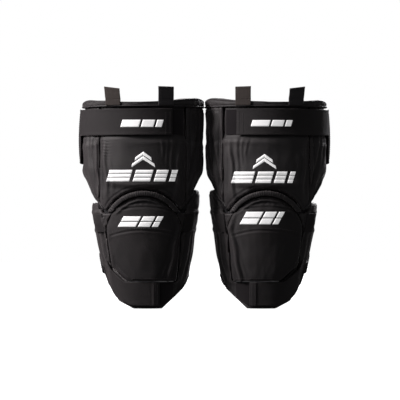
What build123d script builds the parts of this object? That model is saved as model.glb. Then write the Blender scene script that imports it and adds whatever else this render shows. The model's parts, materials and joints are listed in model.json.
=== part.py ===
"""A pair of ice-hockey goalie knee and thigh guards.

Each guard is a thigh guard hinged on a knee guard.  Both are curved, layered shells: a lining, a
foam core, a stiff plate and a woven cover at the front, with a padded wing on each side.  A wide
elastic runs round the back of each shell and its hook end closes on a loop patch at the front.

Units are millimetres.  The wearer faces -Y and stands along +Z, so the right-leg guard is at -X.
One guard is modelled with the outer side of the leg towards -X, and is mirrored for the left leg.
"""
from build123d import *
import os

# ---- driving dimensions -------------------------------------------------------------------------
KNEE_AXIS_Z = 150.0            # height of the knee joint's axis, which runs along X through Y = 0
GUARD_OFFSET_X = 95.6          # from the pair's middle plane to each guard's middle
DEPTH_SHIFT_Y = 2.12           # moves the pair so that the middle of its depth is at Y = 0
REACH = 200.0                  # half length of every cutting prism

# the thigh shell's outer surface: (height, half width, half depth)
THIGH_OUTER = ((148.0, 83.0, 73.0), (215.0, 93.0, 76.0), (330.0, 93.0, 76.0))
# how deep each layer's surface lies under it, at each of those heights
THIGH_DEPTHS = {
    "outer": (0.0, 0.0, 0.0),
    "cover": (1.0, 1.5, 1.5),
    "plate": (2.5, 4.0, 4.0),
    "foam": (6.0, 12.0, 12.0),
    "lining": (8.0, 19.0, 19.0),
}
THIGH_RIM_Z = 311.0            # underside of the padded rim
THIGH_PANEL_HALF = 65.0        # half width of the front panel
SEAM_GAP = 1.0                 # between a panel and the wing that is sewn beside it
RIM_PROUD = 1.0
RIM_ARC = ((-100.0, 324.0), (0.0, 317.5), (100.0, 328.0))

# the knee shell's inner surface: (height, half width, half depth, centre X)
KNEE_INNER = ((-5.0, 44.0, 49.5, 7.2), (190.0, 79.6, 66.0, 1.3))
# how far each surface of the knee shell stands out from the inner one
KNEE_HEIGHTS = {
    "inner": 0.0, "lining": 4.0, "wing": 10.0, "foam": 13.0, "plate": 15.5, "cover": 17.0, "roll": 19.0,
}
KNEE_WING_Z = 147.0            # top edge of the knee wings in front of the ears
EAR_RADIUS = 40.5              # the ears keep within this of the knee axis
EAR_TOP = {"outer": 163.0, "inner": 183.0}
PANEL_HALF_LOW = 50.0
PANEL_LOW_Z = 42.0
PANEL_CORNER = (28.0, 26.0)    # width and height of the cut corner on the outer side
PANEL_MIDDLE_X = 2.0
ARCH_RADIUS = 64.0             # outer radius of the padded roll over the knee cup
ARCH_CENTRE_Z = 117.0
ROLL_WIDTH = 8.0

ELASTIC = 2.0                  # thickness of a woven elastic
HOOK = 1.2                     # thickness of a hook or loop tape
HOOK_GAP = 0.4                 # between a hook tape and its loop patch
THIGH_STRAP_Z = (266.0, 307.0)
THIGH_ELASTIC_Z = (218.0, 308.0)
CALF_STRAP_Z = (4.0, 41.0)
THIGH_STRAP_END_X = 46.0
CALF_STRAP_END_X = 26.0

TAB_WIDTH = 25.0
TAB_THICK = 2.0
TAB_SEWN = 10.0
TAB_GAP = 1.5
TAB_FOLD_Z = 322.0
TAB_TOP_Z = 341.0
TAB_TURN = 20.0                # each tab is turned this much to lie along the curved rim
TAB_PLACES = {"outer": -44.0, "inner": 36.0}

TONGUE_HALVES = (66.0, 60.0)   # half width and half depth of the tongue's outer face
TONGUE_THICK = 4.0
TONGUE_FRONT = -19.0           # the tongue keeps only what is further forward than this
TONGUE_TOP_Z = 190.0
TONGUE_TUCK = 30.0             # degrees that the tongue reaches down inside the knee cup


# ---- tools --------------------------------------------------------------------------------------
def oval_loft(stations):
    """A closed solid through oval sections (height, half width, half depth, centre X, centre Y)."""
    sections = [Pos(cx, cy, z) * Ellipse(a, b) for z, a, b, cx, cy in stations]
    return loft(sections, ruled=True)


def oval_ring(heights, oval, thickness):
    """An upright tube between two heights: its oval is (half width, half depth, centre X, centre Y)."""
    a, b, cx, cy = oval
    ring = Pos(cx, cy, heights[0]) * (Ellipse(a, b) - Ellipse(a - thickness, b - thickness))
    return extrude(ring, heights[1] - heights[0], dir=(0, 0, 1))


def tapered_ring(stations):
    """A thin elastic wall round oval sections (height, half width, half depth, centre X, centre Y)."""
    inner = [(z, a - ELASTIC, b - ELASTIC, cx, cy) for z, a, b, cx, cy in stations]
    return oval_loft(stations) - oval_loft(inner)


def front_prism(points):
    """Everything inside an outline that is drawn in front view, as (x, z) points."""
    face = Plane.XZ * make_face(Polyline(*points, close=True))
    return extrude(face, REACH, both=True)


def side_prism(points):
    """Everything inside an outline that is drawn in side view, as (y, z) points."""
    face = Plane.YZ * make_face(Polyline(*points, close=True))
    return extrude(face, REACH, both=True)


def block(x, y, z):
    """A box given by its (low, high) pair on each axis."""
    size = [high - low for low, high in (x, y, z)]
    middle = [(high + low) / 2 for low, high in (x, y, z)]
    return Pos(*middle) * Box(*size)


def thigh_surface(depths):
    """The solid inside the surface that lies at these depths under the thigh shell's outer one."""
    return oval_loft([(z, a - d, b - d, 0, 0) for (z, a, b), d in zip(THIGH_OUTER, depths)])


def thigh_layer(outside, inside):
    """The wall between two named surfaces of the thigh shell."""
    return thigh_surface(THIGH_DEPTHS[outside]) - thigh_surface(THIGH_DEPTHS[inside])


def knee_surface(height):
    """The solid inside a surface that stands out from the knee shell's inner one."""
    return oval_loft([(z, a + height, b + height, cx, 0) for z, a, b, cx in KNEE_INNER])


def knee_layer(outside, inside):
    """The wall between two heights of the knee shell."""
    return knee_surface(outside) - knee_surface(inside)


# ---- thigh guard --------------------------------------------------------------------------------
THIGH_SIDE = ((-150, 149), (-50, 149), (-20, 196), (2, 212), (24, 232), (35, 255), (35, 400), (-150, 400))


def thigh_parts():
    """The pieces that are sewn together into the thigh guard."""
    cup_room = arch_band(ARCH_RADIUS + 1.5) & block((-150, 150), (-150, -10), (0, 400))
    below_rim = block((-150, 150), (-150, 150), (0, THIGH_RIM_Z))
    shell = (side_prism(THIGH_SIDE) & below_rim) - cup_room
    front = block((-THIGH_PANEL_HALF, THIGH_PANEL_HALF), (-150, 0), (0, 400))
    wing_from = THIGH_PANEL_HALF + SEAM_GAP
    parts = {"thigh_lining": thigh_layer("foam", "lining") & shell}
    parts["thigh_foam"] = thigh_layer("plate", "foam") & shell & front
    parts["thigh_plate"] = thigh_layer("cover", "plate") & shell & front
    parts["thigh_cover"] = thigh_layer("outer", "cover") & shell & front
    wing_wall = thigh_layer("outer", "foam") & shell
    parts["thigh_wing_outer"] = wing_wall & block((-150, -wing_from), (-150, 150), (0, 400))
    parts["thigh_wing_inner"] = wing_wall & block((wing_from, 150), (-150, 150), (0, 400))
    parts["thigh_rim"] = rim()
    parts["thigh_tongue"] = tongue()
    return parts


def rim():
    """The padded top edge, lower in the middle than at its sides."""
    deepest = THIGH_DEPTHS["lining"][-1] + RIM_PROUD
    wall = thigh_surface([-RIM_PROUD] * 3) - thigh_surface([deepest] * 3)
    left, middle, right = RIM_ARC
    low_left, low_right = (left[0], THIGH_RIM_Z), (right[0], THIGH_RIM_Z)
    edges = [ThreePointArc(*RIM_ARC), Line(right, low_right), Line(low_right, low_left), Line(low_left, left)]
    outline = extrude(Plane.XZ * make_face(edges), REACH, both=True)
    return wall & outline & side_prism(THIGH_SIDE)


def tongue():
    """The thin lower end of the thigh guard, which slides inside the knee cup as the knee bends."""
    outer, inner = [Ellipse(*[half - depth for half in TONGUE_HALVES]) for depth in (0, TONGUE_THICK)]
    front = Pos(0, TONGUE_FRONT - 75) * Rectangle(300, 150)
    section = Pos(0, 0, KNEE_AXIS_Z) * ((outer - inner) & front)
    straight = extrude(section, TONGUE_TOP_Z - KNEE_AXIS_Z, dir=(0, 0, 1))
    knee_axis = Axis((0, 0, KNEE_AXIS_Z), (1, 0, 0))
    tucked = revolve(section, knee_axis, TONGUE_TUCK)
    outline = front_prism([(-64, 195), (-62, 148), (-38, 118), (38, 118), (62, 148), (64, 195)])
    return (straight + tucked) & outline


def thigh_straps():
    """The wide elastic behind the thigh, its loose front end, and the tapes that close it."""
    low, high = THIGH_STRAP_Z
    a, b = THIGH_OUTER[-1][1:]
    around = oval_ring(THIGH_ELASTIC_Z, (95.0, 78.0, -2.0, 2.0), ELASTIC)
    beside_wing = side_prism(THIGH_SIDE) & block((0, 150), (-150, 150), (0, 400))
    back = around - beside_wing - block((-150, 150), (-150, -3), (0, 400))

    def band(near, far, x, z):
        return oval_ring(z, (a + far, b + far, 0, 0), far - near) & block(x, (-150, -5), z)

    hook_near = HOOK + HOOK_GAP
    strap_near = hook_near + HOOK
    return {
        "thigh_loop_patch": band(0.0, HOOK, (4, 62), (low + 1, high - 1)),
        "thigh_strap_hook": band(hook_near, strap_near, (8, THIGH_STRAP_END_X - 3), (low + 2, high - 2)),
        "thigh_strap": band(strap_near, strap_near + ELASTIC, (-150, THIGH_STRAP_END_X), (low, high)),
        "thigh_back_strap": back,
    }


def tab(z_low, z_high, place):
    """One stretch of a hook tab, flat, turned to lie against the curved rim at this x."""
    a, b = [half + RIM_PROUD for half in THIGH_OUTER[-1][1:]]
    rim_y = -b * (1 - (place / a) ** 2) ** 0.5
    plate = Box(TAB_WIDTH, TAB_THICK, z_high - z_low)
    turn = TAB_TURN if place > 0 else -TAB_TURN
    stand_off = TAB_THICK / 2 + 1.2
    return Pos(place, rim_y, (z_low + z_high) / 2) * Rot(0, 0, turn) * Pos(0, -stand_off, 0) * plate


def tab_parts():
    """The two hook tabs that fasten to the hockey pants, and the ends by which they are sewn on."""
    parts = {}
    bases = []
    for name, place in TAB_PLACES.items():
        parts[f"pant_tab_{name}"] = tab(TAB_FOLD_Z, TAB_TOP_Z, place)
        bases.append(tab(TAB_FOLD_Z - TAB_SEWN, TAB_FOLD_Z - TAB_GAP, place))
    parts["pant_tab_bases"] = Compound(children=bases)
    return parts


# ---- knee guard ---------------------------------------------------------------------------------
BOTTOM_OUTLINE = (
    (-150, 400), (-150, 70), (-61, 70), (-53, 34), (-37, 11), (-14, 0),
    (30, 0), (62, 29), (78, 70), (150, 70), (150, 400),
)
WING_SIDE = ((-150, -20), (-36, -20), (-14, 22), (40, 52), (40, 125), (22, KNEE_WING_Z), (-150, KNEE_WING_Z))


def panel_outline(grow=0.0):
    """The shield shape of the front panel over the knee and shin, drawn in front view."""
    radius = ARCH_RADIUS - ROLL_WIDTH + grow
    left, right = [PANEL_MIDDLE_X + side * radius for side in (-1, 1)]
    left_low, right_low = [PANEL_MIDDLE_X + side * (PANEL_HALF_LOW + grow) for side in (-1, 1)]
    low = PANEL_LOW_Z - grow
    corner_x, corner_z = PANEL_CORNER
    points = [(left, ARCH_CENTRE_Z), (left_low, low + corner_z), (left_low + corner_x, low), (right_low, low)]
    points.append((right, ARCH_CENTRE_Z))
    edges = [Line(a, b) for a, b in zip(points, points[1:])]
    edges.append(ThreePointArc(points[-1], (PANEL_MIDDLE_X, ARCH_CENTRE_Z + radius), points[0]))
    return extrude(Plane.XZ * make_face(edges), REACH, both=True)


def arch_band(outer, inner=None):
    """A half ring in front view, over the knee cup, or a half disc if no inner radius is given."""
    ring = Circle(outer) - Circle(inner) if inner else Circle(outer)
    upper = Pos(0, 75) * Rectangle(300, 130)
    return extrude(Plane.XZ * (Pos(PANEL_MIDDLE_X, ARCH_CENTRE_Z) * (ring & upper)), REACH, both=True)


def ear(side, x):
    """The round ear of a knee wing, beside the joint, between two values of x."""
    disc = extrude(Plane.YZ * (Pos(0, KNEE_AXIS_Z) * Circle(EAR_RADIUS)), REACH, both=True)
    return disc & block(x, (-150, 22), (KNEE_WING_Z - 8, EAR_TOP[side]))


def knee_parts():
    """The pieces that are sewn together into the knee guard."""
    heights = KNEE_HEIGHTS
    bottom = front_prism(BOTTOM_OUTLINE)
    front = block((-150, 150), (-150, -10), (-20, 400))
    wings = side_prism(WING_SIDE) + ear("outer", (-150, 0)) + ear("inner", (0, 150))
    cup = (arch_band(ARCH_RADIUS) & front) - side_prism(WING_SIDE)
    parts = {"knee_lining": knee_layer(heights["lining"], heights["inner"]) & (wings + cup) & bottom}
    panel = panel_outline() & front
    parts["knee_foam"] = knee_layer(heights["foam"], heights["lining"]) & panel
    parts["knee_plate"] = knee_layer(heights["plate"], heights["foam"]) & panel
    parts["knee_cover"] = knee_layer(heights["cover"], heights["plate"]) & panel
    roll_room = block((-150, 150), (-150, -10), (KNEE_WING_Z + SEAM_GAP, 400))
    roll_wall = knee_layer(heights["roll"], heights["lining"]) & roll_room
    parts["knee_roll"] = roll_wall & arch_band(ARCH_RADIUS, ARCH_RADIUS - ROLL_WIDTH + 0.5)
    wing_wall = knee_layer(heights["wing"], heights["lining"]) & wings & bottom
    wing_wall -= panel_outline(SEAM_GAP) & front
    parts["calf_wing_outer"] = wing_wall & outer_side(0)
    parts["calf_wing_inner"] = wing_wall - outer_side(SEAM_GAP)
    return parts


def outer_side(gap):
    """Where the knee guard's outer wing is: beside the panel, but not under it."""
    under_panel = PANEL_MIDDLE_X - PANEL_HALF_LOW + gap
    side = block((-150, under_panel), (-150, 150), (-20, 400))
    side += block((-150, gap), (-150, 150), (100, 400))
    return side + block((-150, gap), (0, 150), (-20, 400))


def knee_straps():
    """The elastics behind the knee and the calf, the calf strap's loose end, and its tapes."""
    behind = block((-150, 150), (42, 150), (-20, 400))
    beside = block((-150, 0), (-7, 150), (-20, 400))
    knee_ring = tapered_ring([(106, 72, 62, 3.6, 0), (134, 76, 62, 3.0, 0)])
    calf_ring = tapered_ring([(44, 68, 60, -1.0, 0), (88, 76, 62, -1.0, 0)])
    base = KNEE_HEIGHTS["wing"]
    hook_near = base + HOOK + HOOK_GAP
    strap_near = hook_near + HOOK
    low, high = CALF_STRAP_Z
    end = CALF_STRAP_END_X
    strap_outline = [(end, low), (-16, low), (-40, 17), (-53, 38), (-90, 54), (-90, 84), (-60, 84), (-51, 62)]
    strap_outline += [(-27, high), (end, high)]
    front = block((-150, 150), (-150, -10), (-20, 400))
    return {
        "knee_strap": knee_ring & behind,
        "calf_back_strap": calf_ring & (behind + beside),
        "calf_loop_patch": knee_layer(base + HOOK, base) & block((-18, 46), (-150, -10), (low + 1, high - 1)),
        "calf_strap_hook": knee_layer(strap_near, hook_near)
        & block((-14, end - 3), (-150, -10), (low + 2, high - 2)),
        "calf_strap": knee_layer(strap_near + ELASTIC, strap_near) & front_prism(strap_outline) & front,
    }


def knee_strap_ends():
    """The front ends of the knee strap, sewn down beside the knee cup."""
    near = KNEE_HEIGHTS["wing"]
    wall = knee_layer(near + ELASTIC, near) & block((-150, 150), (-150, -16), (100, KNEE_WING_Z - 1))
    parts = {}
    for name, side in (("outer", -1), ("inner", 1)):
        edge, far = PANEL_MIDDLE_X + side * 60, PANEL_MIDDLE_X + side * 120
        patch = front_prism([(edge, 116), (far, 116), (far, 146), (edge, 146)])
        parts[f"knee_strap_end_{name}"] = wall & patch
    return parts


# ---- assembly -----------------------------------------------------------------------------------
SYMMETRIC = ("thigh_tongue",)   # alike on both legs, so it is moved to the left leg and not mirrored


def guard():
    """All the pieces of one guard, the outer side of the leg towards -X."""
    thigh = {**thigh_parts(), **thigh_straps(), **tab_parts()}
    return {**thigh, **knee_parts(), **knee_straps(), **knee_strap_ends()}


def main():
    """Writes one STEP file for each piece of each guard."""
    os.makedirs("parts", exist_ok=True)
    for name, shape in guard().items():
        right = Pos(-GUARD_OFFSET_X, DEPTH_SHIFT_Y, 0) * shape
        left = mirror(right, Plane.YZ)
        if name in SYMMETRIC:
            left = Pos(GUARD_OFFSET_X, DEPTH_SHIFT_Y, 0) * shape
        for leg, piece in (("right", right), ("left", left)):
            solids = piece.solids()
            whole = solids[0] if len(solids) == 1 else Compound(children=solids)
            export_step(whole, f"parts/{leg}_{name}.step")
            if leg == "right":
                size = whole.bounding_box()
                print(name, len(solids), [round(v, 1) for v in (*size.min, *size.max)])


main()
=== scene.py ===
"""Looks of a pair of ice-hockey goalie knee and thigh guards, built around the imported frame.

Each guard is modelled once, for the right leg, and mirrored for the left one.  Shapes are worked out
in millimetres in the guard's own frame, whose origin is under the knee joint's axis, with the outer
side of the leg at negative x and the front at negative y.
"""

import json
import logging
import math
from collections.abc import Callable, Iterable, Sequence
from dataclasses import dataclass, field
from enum import Enum

import bmesh
import bpy
import numpy as np
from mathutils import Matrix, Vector
from mathutils.bvhtree import BVHTree
from mathutils.kdtree import KDTree

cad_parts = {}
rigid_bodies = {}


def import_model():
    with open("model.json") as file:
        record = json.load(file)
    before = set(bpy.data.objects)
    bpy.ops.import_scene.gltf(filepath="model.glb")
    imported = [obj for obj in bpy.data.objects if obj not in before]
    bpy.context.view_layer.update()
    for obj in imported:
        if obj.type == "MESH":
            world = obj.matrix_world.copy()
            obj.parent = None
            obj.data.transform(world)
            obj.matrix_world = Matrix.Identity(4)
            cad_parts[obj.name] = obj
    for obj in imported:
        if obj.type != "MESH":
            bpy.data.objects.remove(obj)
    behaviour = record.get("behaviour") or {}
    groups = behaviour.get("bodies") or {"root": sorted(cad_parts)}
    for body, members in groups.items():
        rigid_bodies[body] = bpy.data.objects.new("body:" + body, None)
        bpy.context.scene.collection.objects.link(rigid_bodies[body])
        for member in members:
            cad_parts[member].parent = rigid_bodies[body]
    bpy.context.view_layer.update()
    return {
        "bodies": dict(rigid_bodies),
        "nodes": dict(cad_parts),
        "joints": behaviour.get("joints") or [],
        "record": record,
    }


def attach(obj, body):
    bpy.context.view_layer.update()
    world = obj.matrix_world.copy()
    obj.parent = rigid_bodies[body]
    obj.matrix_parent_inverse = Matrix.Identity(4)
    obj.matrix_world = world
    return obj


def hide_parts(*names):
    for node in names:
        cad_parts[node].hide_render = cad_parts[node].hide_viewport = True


LOG = logging.getLogger("goalie_guards")
Array = np.ndarray
Point = tuple[float, float]
MM = 0.001
GUARD_APART = 95.6      # half the distance between the two guards' middles, in millimetres
DEPTH_SHIFT = 2.12      # how far back each guard's own origin is
ARCH_X, ARCH_Z = 2.0, 117.0     # the middle of the knee cup's arch
CLOTH_UV = "cloth"      # the UV map that holds the cloth's own coordinates
PALE_EDGE_AND_RIDGE_HIGHLIGHT = "wear"           # the attribute that lightens colour: paler pad edges and a painted highlight on raised folds
SEAM_X = 65.5           # where the front panel of the thigh meets its sides
TINY = 1e-9             # keeps a division from failing
FAR_FROM_EDGE = 99.0    # the distance given where a pad has no edge near


class Leg(Enum):
    """The wearer's leg that a guard is for."""

    RIGHT = "right"
    LEFT = "left"


class Weave(Enum):
    """How a cloth's threads lie."""

    PLAIN = "plain"
    TWILL = "twill"
    RIB = "rib"
    KNIT = "knit"
    PILE = "pile"
    HOOK = "hook"
    TAPE = "tape"


# ---- numbers and curves --------------------------------------------------------------------------
def bell(distance: Array, width: float) -> Array:
    """A smooth bump of height 1 at distance 0."""
    return np.exp(-((distance / width) ** 2))


def step(values: Array, low: float, high: float) -> Array:
    """A smooth step from 0 at low to 1 at high."""
    t = np.clip((values - low) / (high - low), 0, 1)
    return t * t * (3 - 2 * t)


def undulation(u: Array, v: Array, wavelength: float, seed: int, stretch: float = 1.0) -> Array:
    """Smooth seeded unevenness of about -1 to 1.

    Args:
        u: first coordinate, in millimetres.
        v: second coordinate, in millimetres.
        wavelength: the middle wavelength, in millimetres.
        seed: picks the pattern.
        stretch: how much longer the waves are along v than along u.

    Returns:
        One value for each point.
    """
    draw = np.random.default_rng(seed)
    total = np.zeros_like(u)
    for _ in range(9):
        turn, phase = draw.uniform(0, math.tau, 2)
        rate = math.tau / (wavelength * draw.uniform(0.65, 1.6))
        total += np.sin(rate * (u * math.cos(turn) + v / stretch * math.sin(turn)) + phase)
    return total / 4.5


def unit(vectors: Array) -> Array:
    """Vectors at length 1."""
    return vectors / np.maximum(np.linalg.norm(vectors, axis=-1, keepdims=True), TINY)


def distances(line: Array) -> Array:
    """How far each point of a line is along it."""
    return np.concatenate([[0], np.cumsum(np.linalg.norm(np.diff(line, axis=0), axis=1))])


def sampled(places: Array, along: Array, values: Array) -> Array:
    """The columns of a table of values, read at places along a line."""
    return np.stack([np.interp(places, along, column) for column in values.T], axis=1)


def smoothed(line: Array, times: int) -> Array:
    """A line with its bends rounded and its ends kept.

    Args:
        line: its points, which are changed.
        times: how often it is smoothed.

    Returns:
        The line.
    """
    for _ in range(times):
        line[1:-1] = (line[:-2] + 2 * line[1:-1] + line[2:]) / 4
    return line


def even_line(points: Array, pitch: float) -> Array:
    """Points about a pitch apart along a smoothed line.

    Args:
        points: the line.
        pitch: the distance between points.

    Returns:
        The new points.
    """
    along = distances(points)
    shares = np.linspace(0, along[-1], max(6, round(along[-1] / pitch)))
    return smoothed(sampled(shares, along, points), 4)


def rounded_edge(edge: Array, half: float, least: float) -> Array:
    """Half the thickness of a sheet whose edges are round.

    Args:
        edge: how far each point is from the nearest edge.
        half: half the sheet's thickness.
        least: the square of the share of it that is left at the very edge.

    Returns:
        One value for each point.
    """
    return half * np.sqrt(np.clip(1 - (1 - np.clip(edge / half, 0, 1)) ** 2, least, 1))


# ---- forms ---------------------------------------------------------------------------------------
@dataclass(frozen=True)
class Form:
    """An upright shell round the leg, whose level sections are ovals.

    Each station is a height, a half width, a half depth and the middle's x and y, in millimetres.
    """

    stations: tuple[tuple[float, float, float, float, float], ...]
    girth: float

    def ovals(self, z: Array) -> list[Array]:
        """Half width, half depth and the middle's x and y at each height."""
        table = np.array(self.stations, float)
        return [np.interp(z, table[:, 0], table[:, k]) for k in (1, 2, 3, 4)]

    def place(self, turn: Array, z: Array, out: Array | float = 0.0) -> Array:
        """Points at these turns from the front and these heights, standing out from the shell."""
        a, b, x, y = self.ovals(z)
        return np.stack([x + (a + out) * np.sin(turn), y - (b + out) * np.cos(turn), z + 0 * turn], axis=-1)

    def turn_at_x(self, x: float, z: float, out: float = 0.0) -> float:
        """The turn of a point on the front half, from its x."""
        a, _, middle, _ = self.ovals(np.array(z, float))
        return math.asin(max(-1.0, min(1.0, (x - float(middle)) / (float(a) + out))))

    def turn_at_y(self, y: float, z: float, side: int, out: float = 0.0) -> float:
        """The turn of a point on one side of the leg, from its y."""
        _, b, _, middle = self.ovals(np.array(z, float))
        return side * math.acos(max(-1.0, min(1.0, (float(middle) - y) / (float(b) + out))))

    def unroll(self, points: Array) -> tuple[Array, Array]:
        """The turn and the height above the shell of each point.

        Args:
            points: points in the guard's own frame.

        Returns:
            The turns and the heights.
        """
        a, b, x, y = self.ovals(points[:, 2])
        across, back = (points[:, 0] - x) / a, (points[:, 1] - y) / b
        turn = np.arctan2(across, -back)
        reach = np.hypot(across, back)
        return turn, (reach - 1) * np.hypot(a * np.sin(turn), b * np.cos(turn))


THIGH = Form(((148, 83, 73, 0, 0), (215, 93, 76, 0, 0), (345, 93, 76, 0, 0)), 85.0)
KNEE = Form(((-5, 44, 49.5, 7.2, 0), (190, 79.6, 66.0, 1.3, 0)), 70.0)
THIGH_BACK = Form(((218, 94, 77, -2, 2), (308, 94, 77, -2, 2)), 86.0)
CALF_BACK = Form(((44, 60.5, 59, -1, 0), (88, 68.5, 61, -1, 0)), 68.0)
KNEE_BACK = Form(((106, 71, 61, 3.6, 0), (134, 75, 61, 3.0, 0)), 68.0)


@dataclass
class Shape:
    """A closed surface in the guard's own frame, with the cloth's coordinates, in millimetres."""

    points: Array
    faces: list
    uv: Array | None = None
    wear: Array | None = None

    def normals(self) -> Array:
        """A unit normal for each point."""
        total = np.zeros_like(self.points)
        quads = np.array([(*f, f[0]) if len(f) == 3 else f[:4] for f in self.faces])
        corners = self.points[quads]
        flat = np.cross(corners[:, 2] - corners[:, 0], corners[:, 3] - corners[:, 1])
        for k in range(4):
            np.add.at(total, quads[:, k], flat)
        return unit(total)


@dataclass
class Spots:
    """Where each point of a pad is: on its form, from the front, and how near its edge."""

    x: Array
    y: Array
    z: Array
    turn: Array
    out: Array
    facing: Array
    edge: Array


Relief = Callable[[Spots, int], Array]


def merge(shapes: Sequence[Shape]) -> Shape:
    """Several shapes as one.

    Args:
        shapes: what to join.

    Returns:
        One shape, with coordinates only if they all have them.
    """
    faces, start = [], 0
    for shape in shapes:
        faces += [tuple(k + start for k in face) for face in shape.faces]
        start += len(shape.points)
    uv = None if any(s.uv is None for s in shapes) else np.vstack([s.uv for s in shapes])
    return Shape(np.vstack([s.points for s in shapes]), faces, uv)


def slab(middle: Array, above: Array, below: Array, uv: Array) -> Shape:
    """A thin closed sheet from a grid of points.

    Args:
        middle: rows and columns of points, with the outward side where rows cross columns.
        above: how far the outer face stands off at each point.
        below: how far the inner face lies under it.
        uv: the cloth's own coordinates at each point.

    Returns:
        The sheet, with its four edges closed.
    """
    rows, columns = middle.shape[:2]
    down, across = np.gradient(middle, axis=0), np.gradient(middle, axis=1)
    normal = unit(np.cross(across, down))
    outer, inner = middle + normal * above[..., None], middle - normal * below[..., None]
    index = np.arange(rows * columns).reshape(rows, columns)
    a, b, c, d = index[:-1, :-1], index[:-1, 1:], index[1:, 1:], index[1:, :-1]
    front = np.stack([a, b, c, d], axis=-1).reshape(-1, 4)
    size = rows * columns
    back = front[:, ::-1] + size
    ring = np.concatenate([index[0, :-1], index[:-1, -1], index[-1, :0:-1], index[:0:-1, 0]])
    following = np.roll(ring, -1)
    wall = np.stack([following, ring, ring + size, following + size], axis=-1)
    points = np.vstack([outer.reshape(-1, 3), inner.reshape(-1, 3)])
    faces = [tuple(f) for f in np.vstack([front, back, wall]).tolist()]
    return Shape(points, faces, np.vstack([uv.reshape(-1, 2)] * 2))


def crowded(length: float, pitch: float) -> Array:
    """Shares from 0 to 1 about a pitch apart that crowd at both ends, where an edge turns over.

    Args:
        length: how long the band is.
        pitch: the distance between points in the middle.

    Returns:
        The shares, rising.
    """
    ends = np.array([0.0, 0.25, 0.7, 1.4]) / length
    middle = np.linspace(2.4 / length, 1 - 2.4 / length, max(3, round(length / pitch)))
    return np.concatenate([ends, middle, (1 - ends)[::-1]])


@dataclass(frozen=True)
class Ribbon:
    """A flat band on a form, between a lower and an upper edge, each a line of (turn, z) points."""

    form: Form
    lower: tuple[Point, ...]
    upper: tuple[Point, ...]
    base: float
    thick: float
    pitch: float = 2.0

    def _along(self, knots: Sequence[Point]) -> Array:
        """How far each knot is along a line on the form."""
        return distances(np.array(knots, float) * (self.form.girth, 1))

    def _edge(self, knots: Sequence[Point], shares: Array) -> Array:
        """Points along one edge at these shares of its length."""
        along = self._along(knots)
        return smoothed(sampled(shares, along / along[-1], np.array(knots, float)), 3)

    def length(self) -> float:
        """How long the lower edge is."""
        return float(self._along(self.lower)[-1])

    def make(self, relief: Callable[[Array, Array], Array] | None = None) -> Shape:
        """Builds the band.

        Args:
            relief: how far it stands out further, from the place along it and across it.

        Returns:
            The band as a closed sheet.
        """
        length = self.length()
        width = float(self._along((self.lower[0], self.upper[0]))[-1])
        s, t = crowded(length, self.pitch), crowded(width, self.pitch)
        low, high = self._edge(self.lower, s), self._edge(self.upper, s)
        grid = low[None, :, :] * (1 - t[:, None, None]) + high[None, :, :] * t[:, None, None]
        along, across = np.meshgrid(s * length, t * width)
        edge = np.minimum(np.minimum(along, length - along), np.minimum(across, width - across))
        half = self.thick / 2
        rounded = rounded_edge(edge, half, 0.04)
        lift = relief(along, across) if relief else np.zeros_like(along)
        place = self.form.place(grid[..., 0], grid[..., 1], self.base + half + lift)
        return slab(place, rounded, rounded, np.stack([along, across], axis=-1))


def tube(path: Array, radius: float, sides: int = 10) -> Shape:
    """A round piping along a path, with closed ends.

    Args:
        path: its points.
        radius: how thick it is.
        sides: how many faces go round it.

    Returns:
        The tube as a closed surface.
    """
    ahead = unit(np.gradient(path, axis=0))
    side = unit(np.cross(ahead, [0, 0, 1.0]))
    up = np.cross(side, ahead)
    count = len(path)
    taper = np.ones(count)
    taper[[0, -1]] = 0.35
    taper[[1, -2]] = 0.8
    turns = np.linspace(0, math.tau, sides, endpoint=False)
    ring = np.cos(turns)[None, :, None] * side[:, None] + np.sin(turns)[None, :, None] * up[:, None]
    points = (path[:, None] + radius * taper[:, None, None] * ring).reshape(-1, 3)
    faces = []
    for i in range(count - 1):
        for k in range(sides):
            a, b = i * sides + k, i * sides + (k + 1) % sides
            faces.append((a, b, b + sides, a + sides))
    ends = [path[0] - ahead[0] * radius * 0.2, path[-1] + ahead[-1] * radius * 0.2]
    points = np.vstack([points, ends])
    for k in range(sides):
        faces.append(((k + 1) % sides, k, count * sides))
        last = (count - 1) * sides
        faces.append((last + k, last + (k + 1) % sides, count * sides + 1))
    uv = np.stack([np.repeat(distances(path), sides), np.tile(turns * radius, count)], axis=1)
    return Shape(points, faces, np.vstack([uv, uv[:1], uv[-1:]]))


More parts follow.
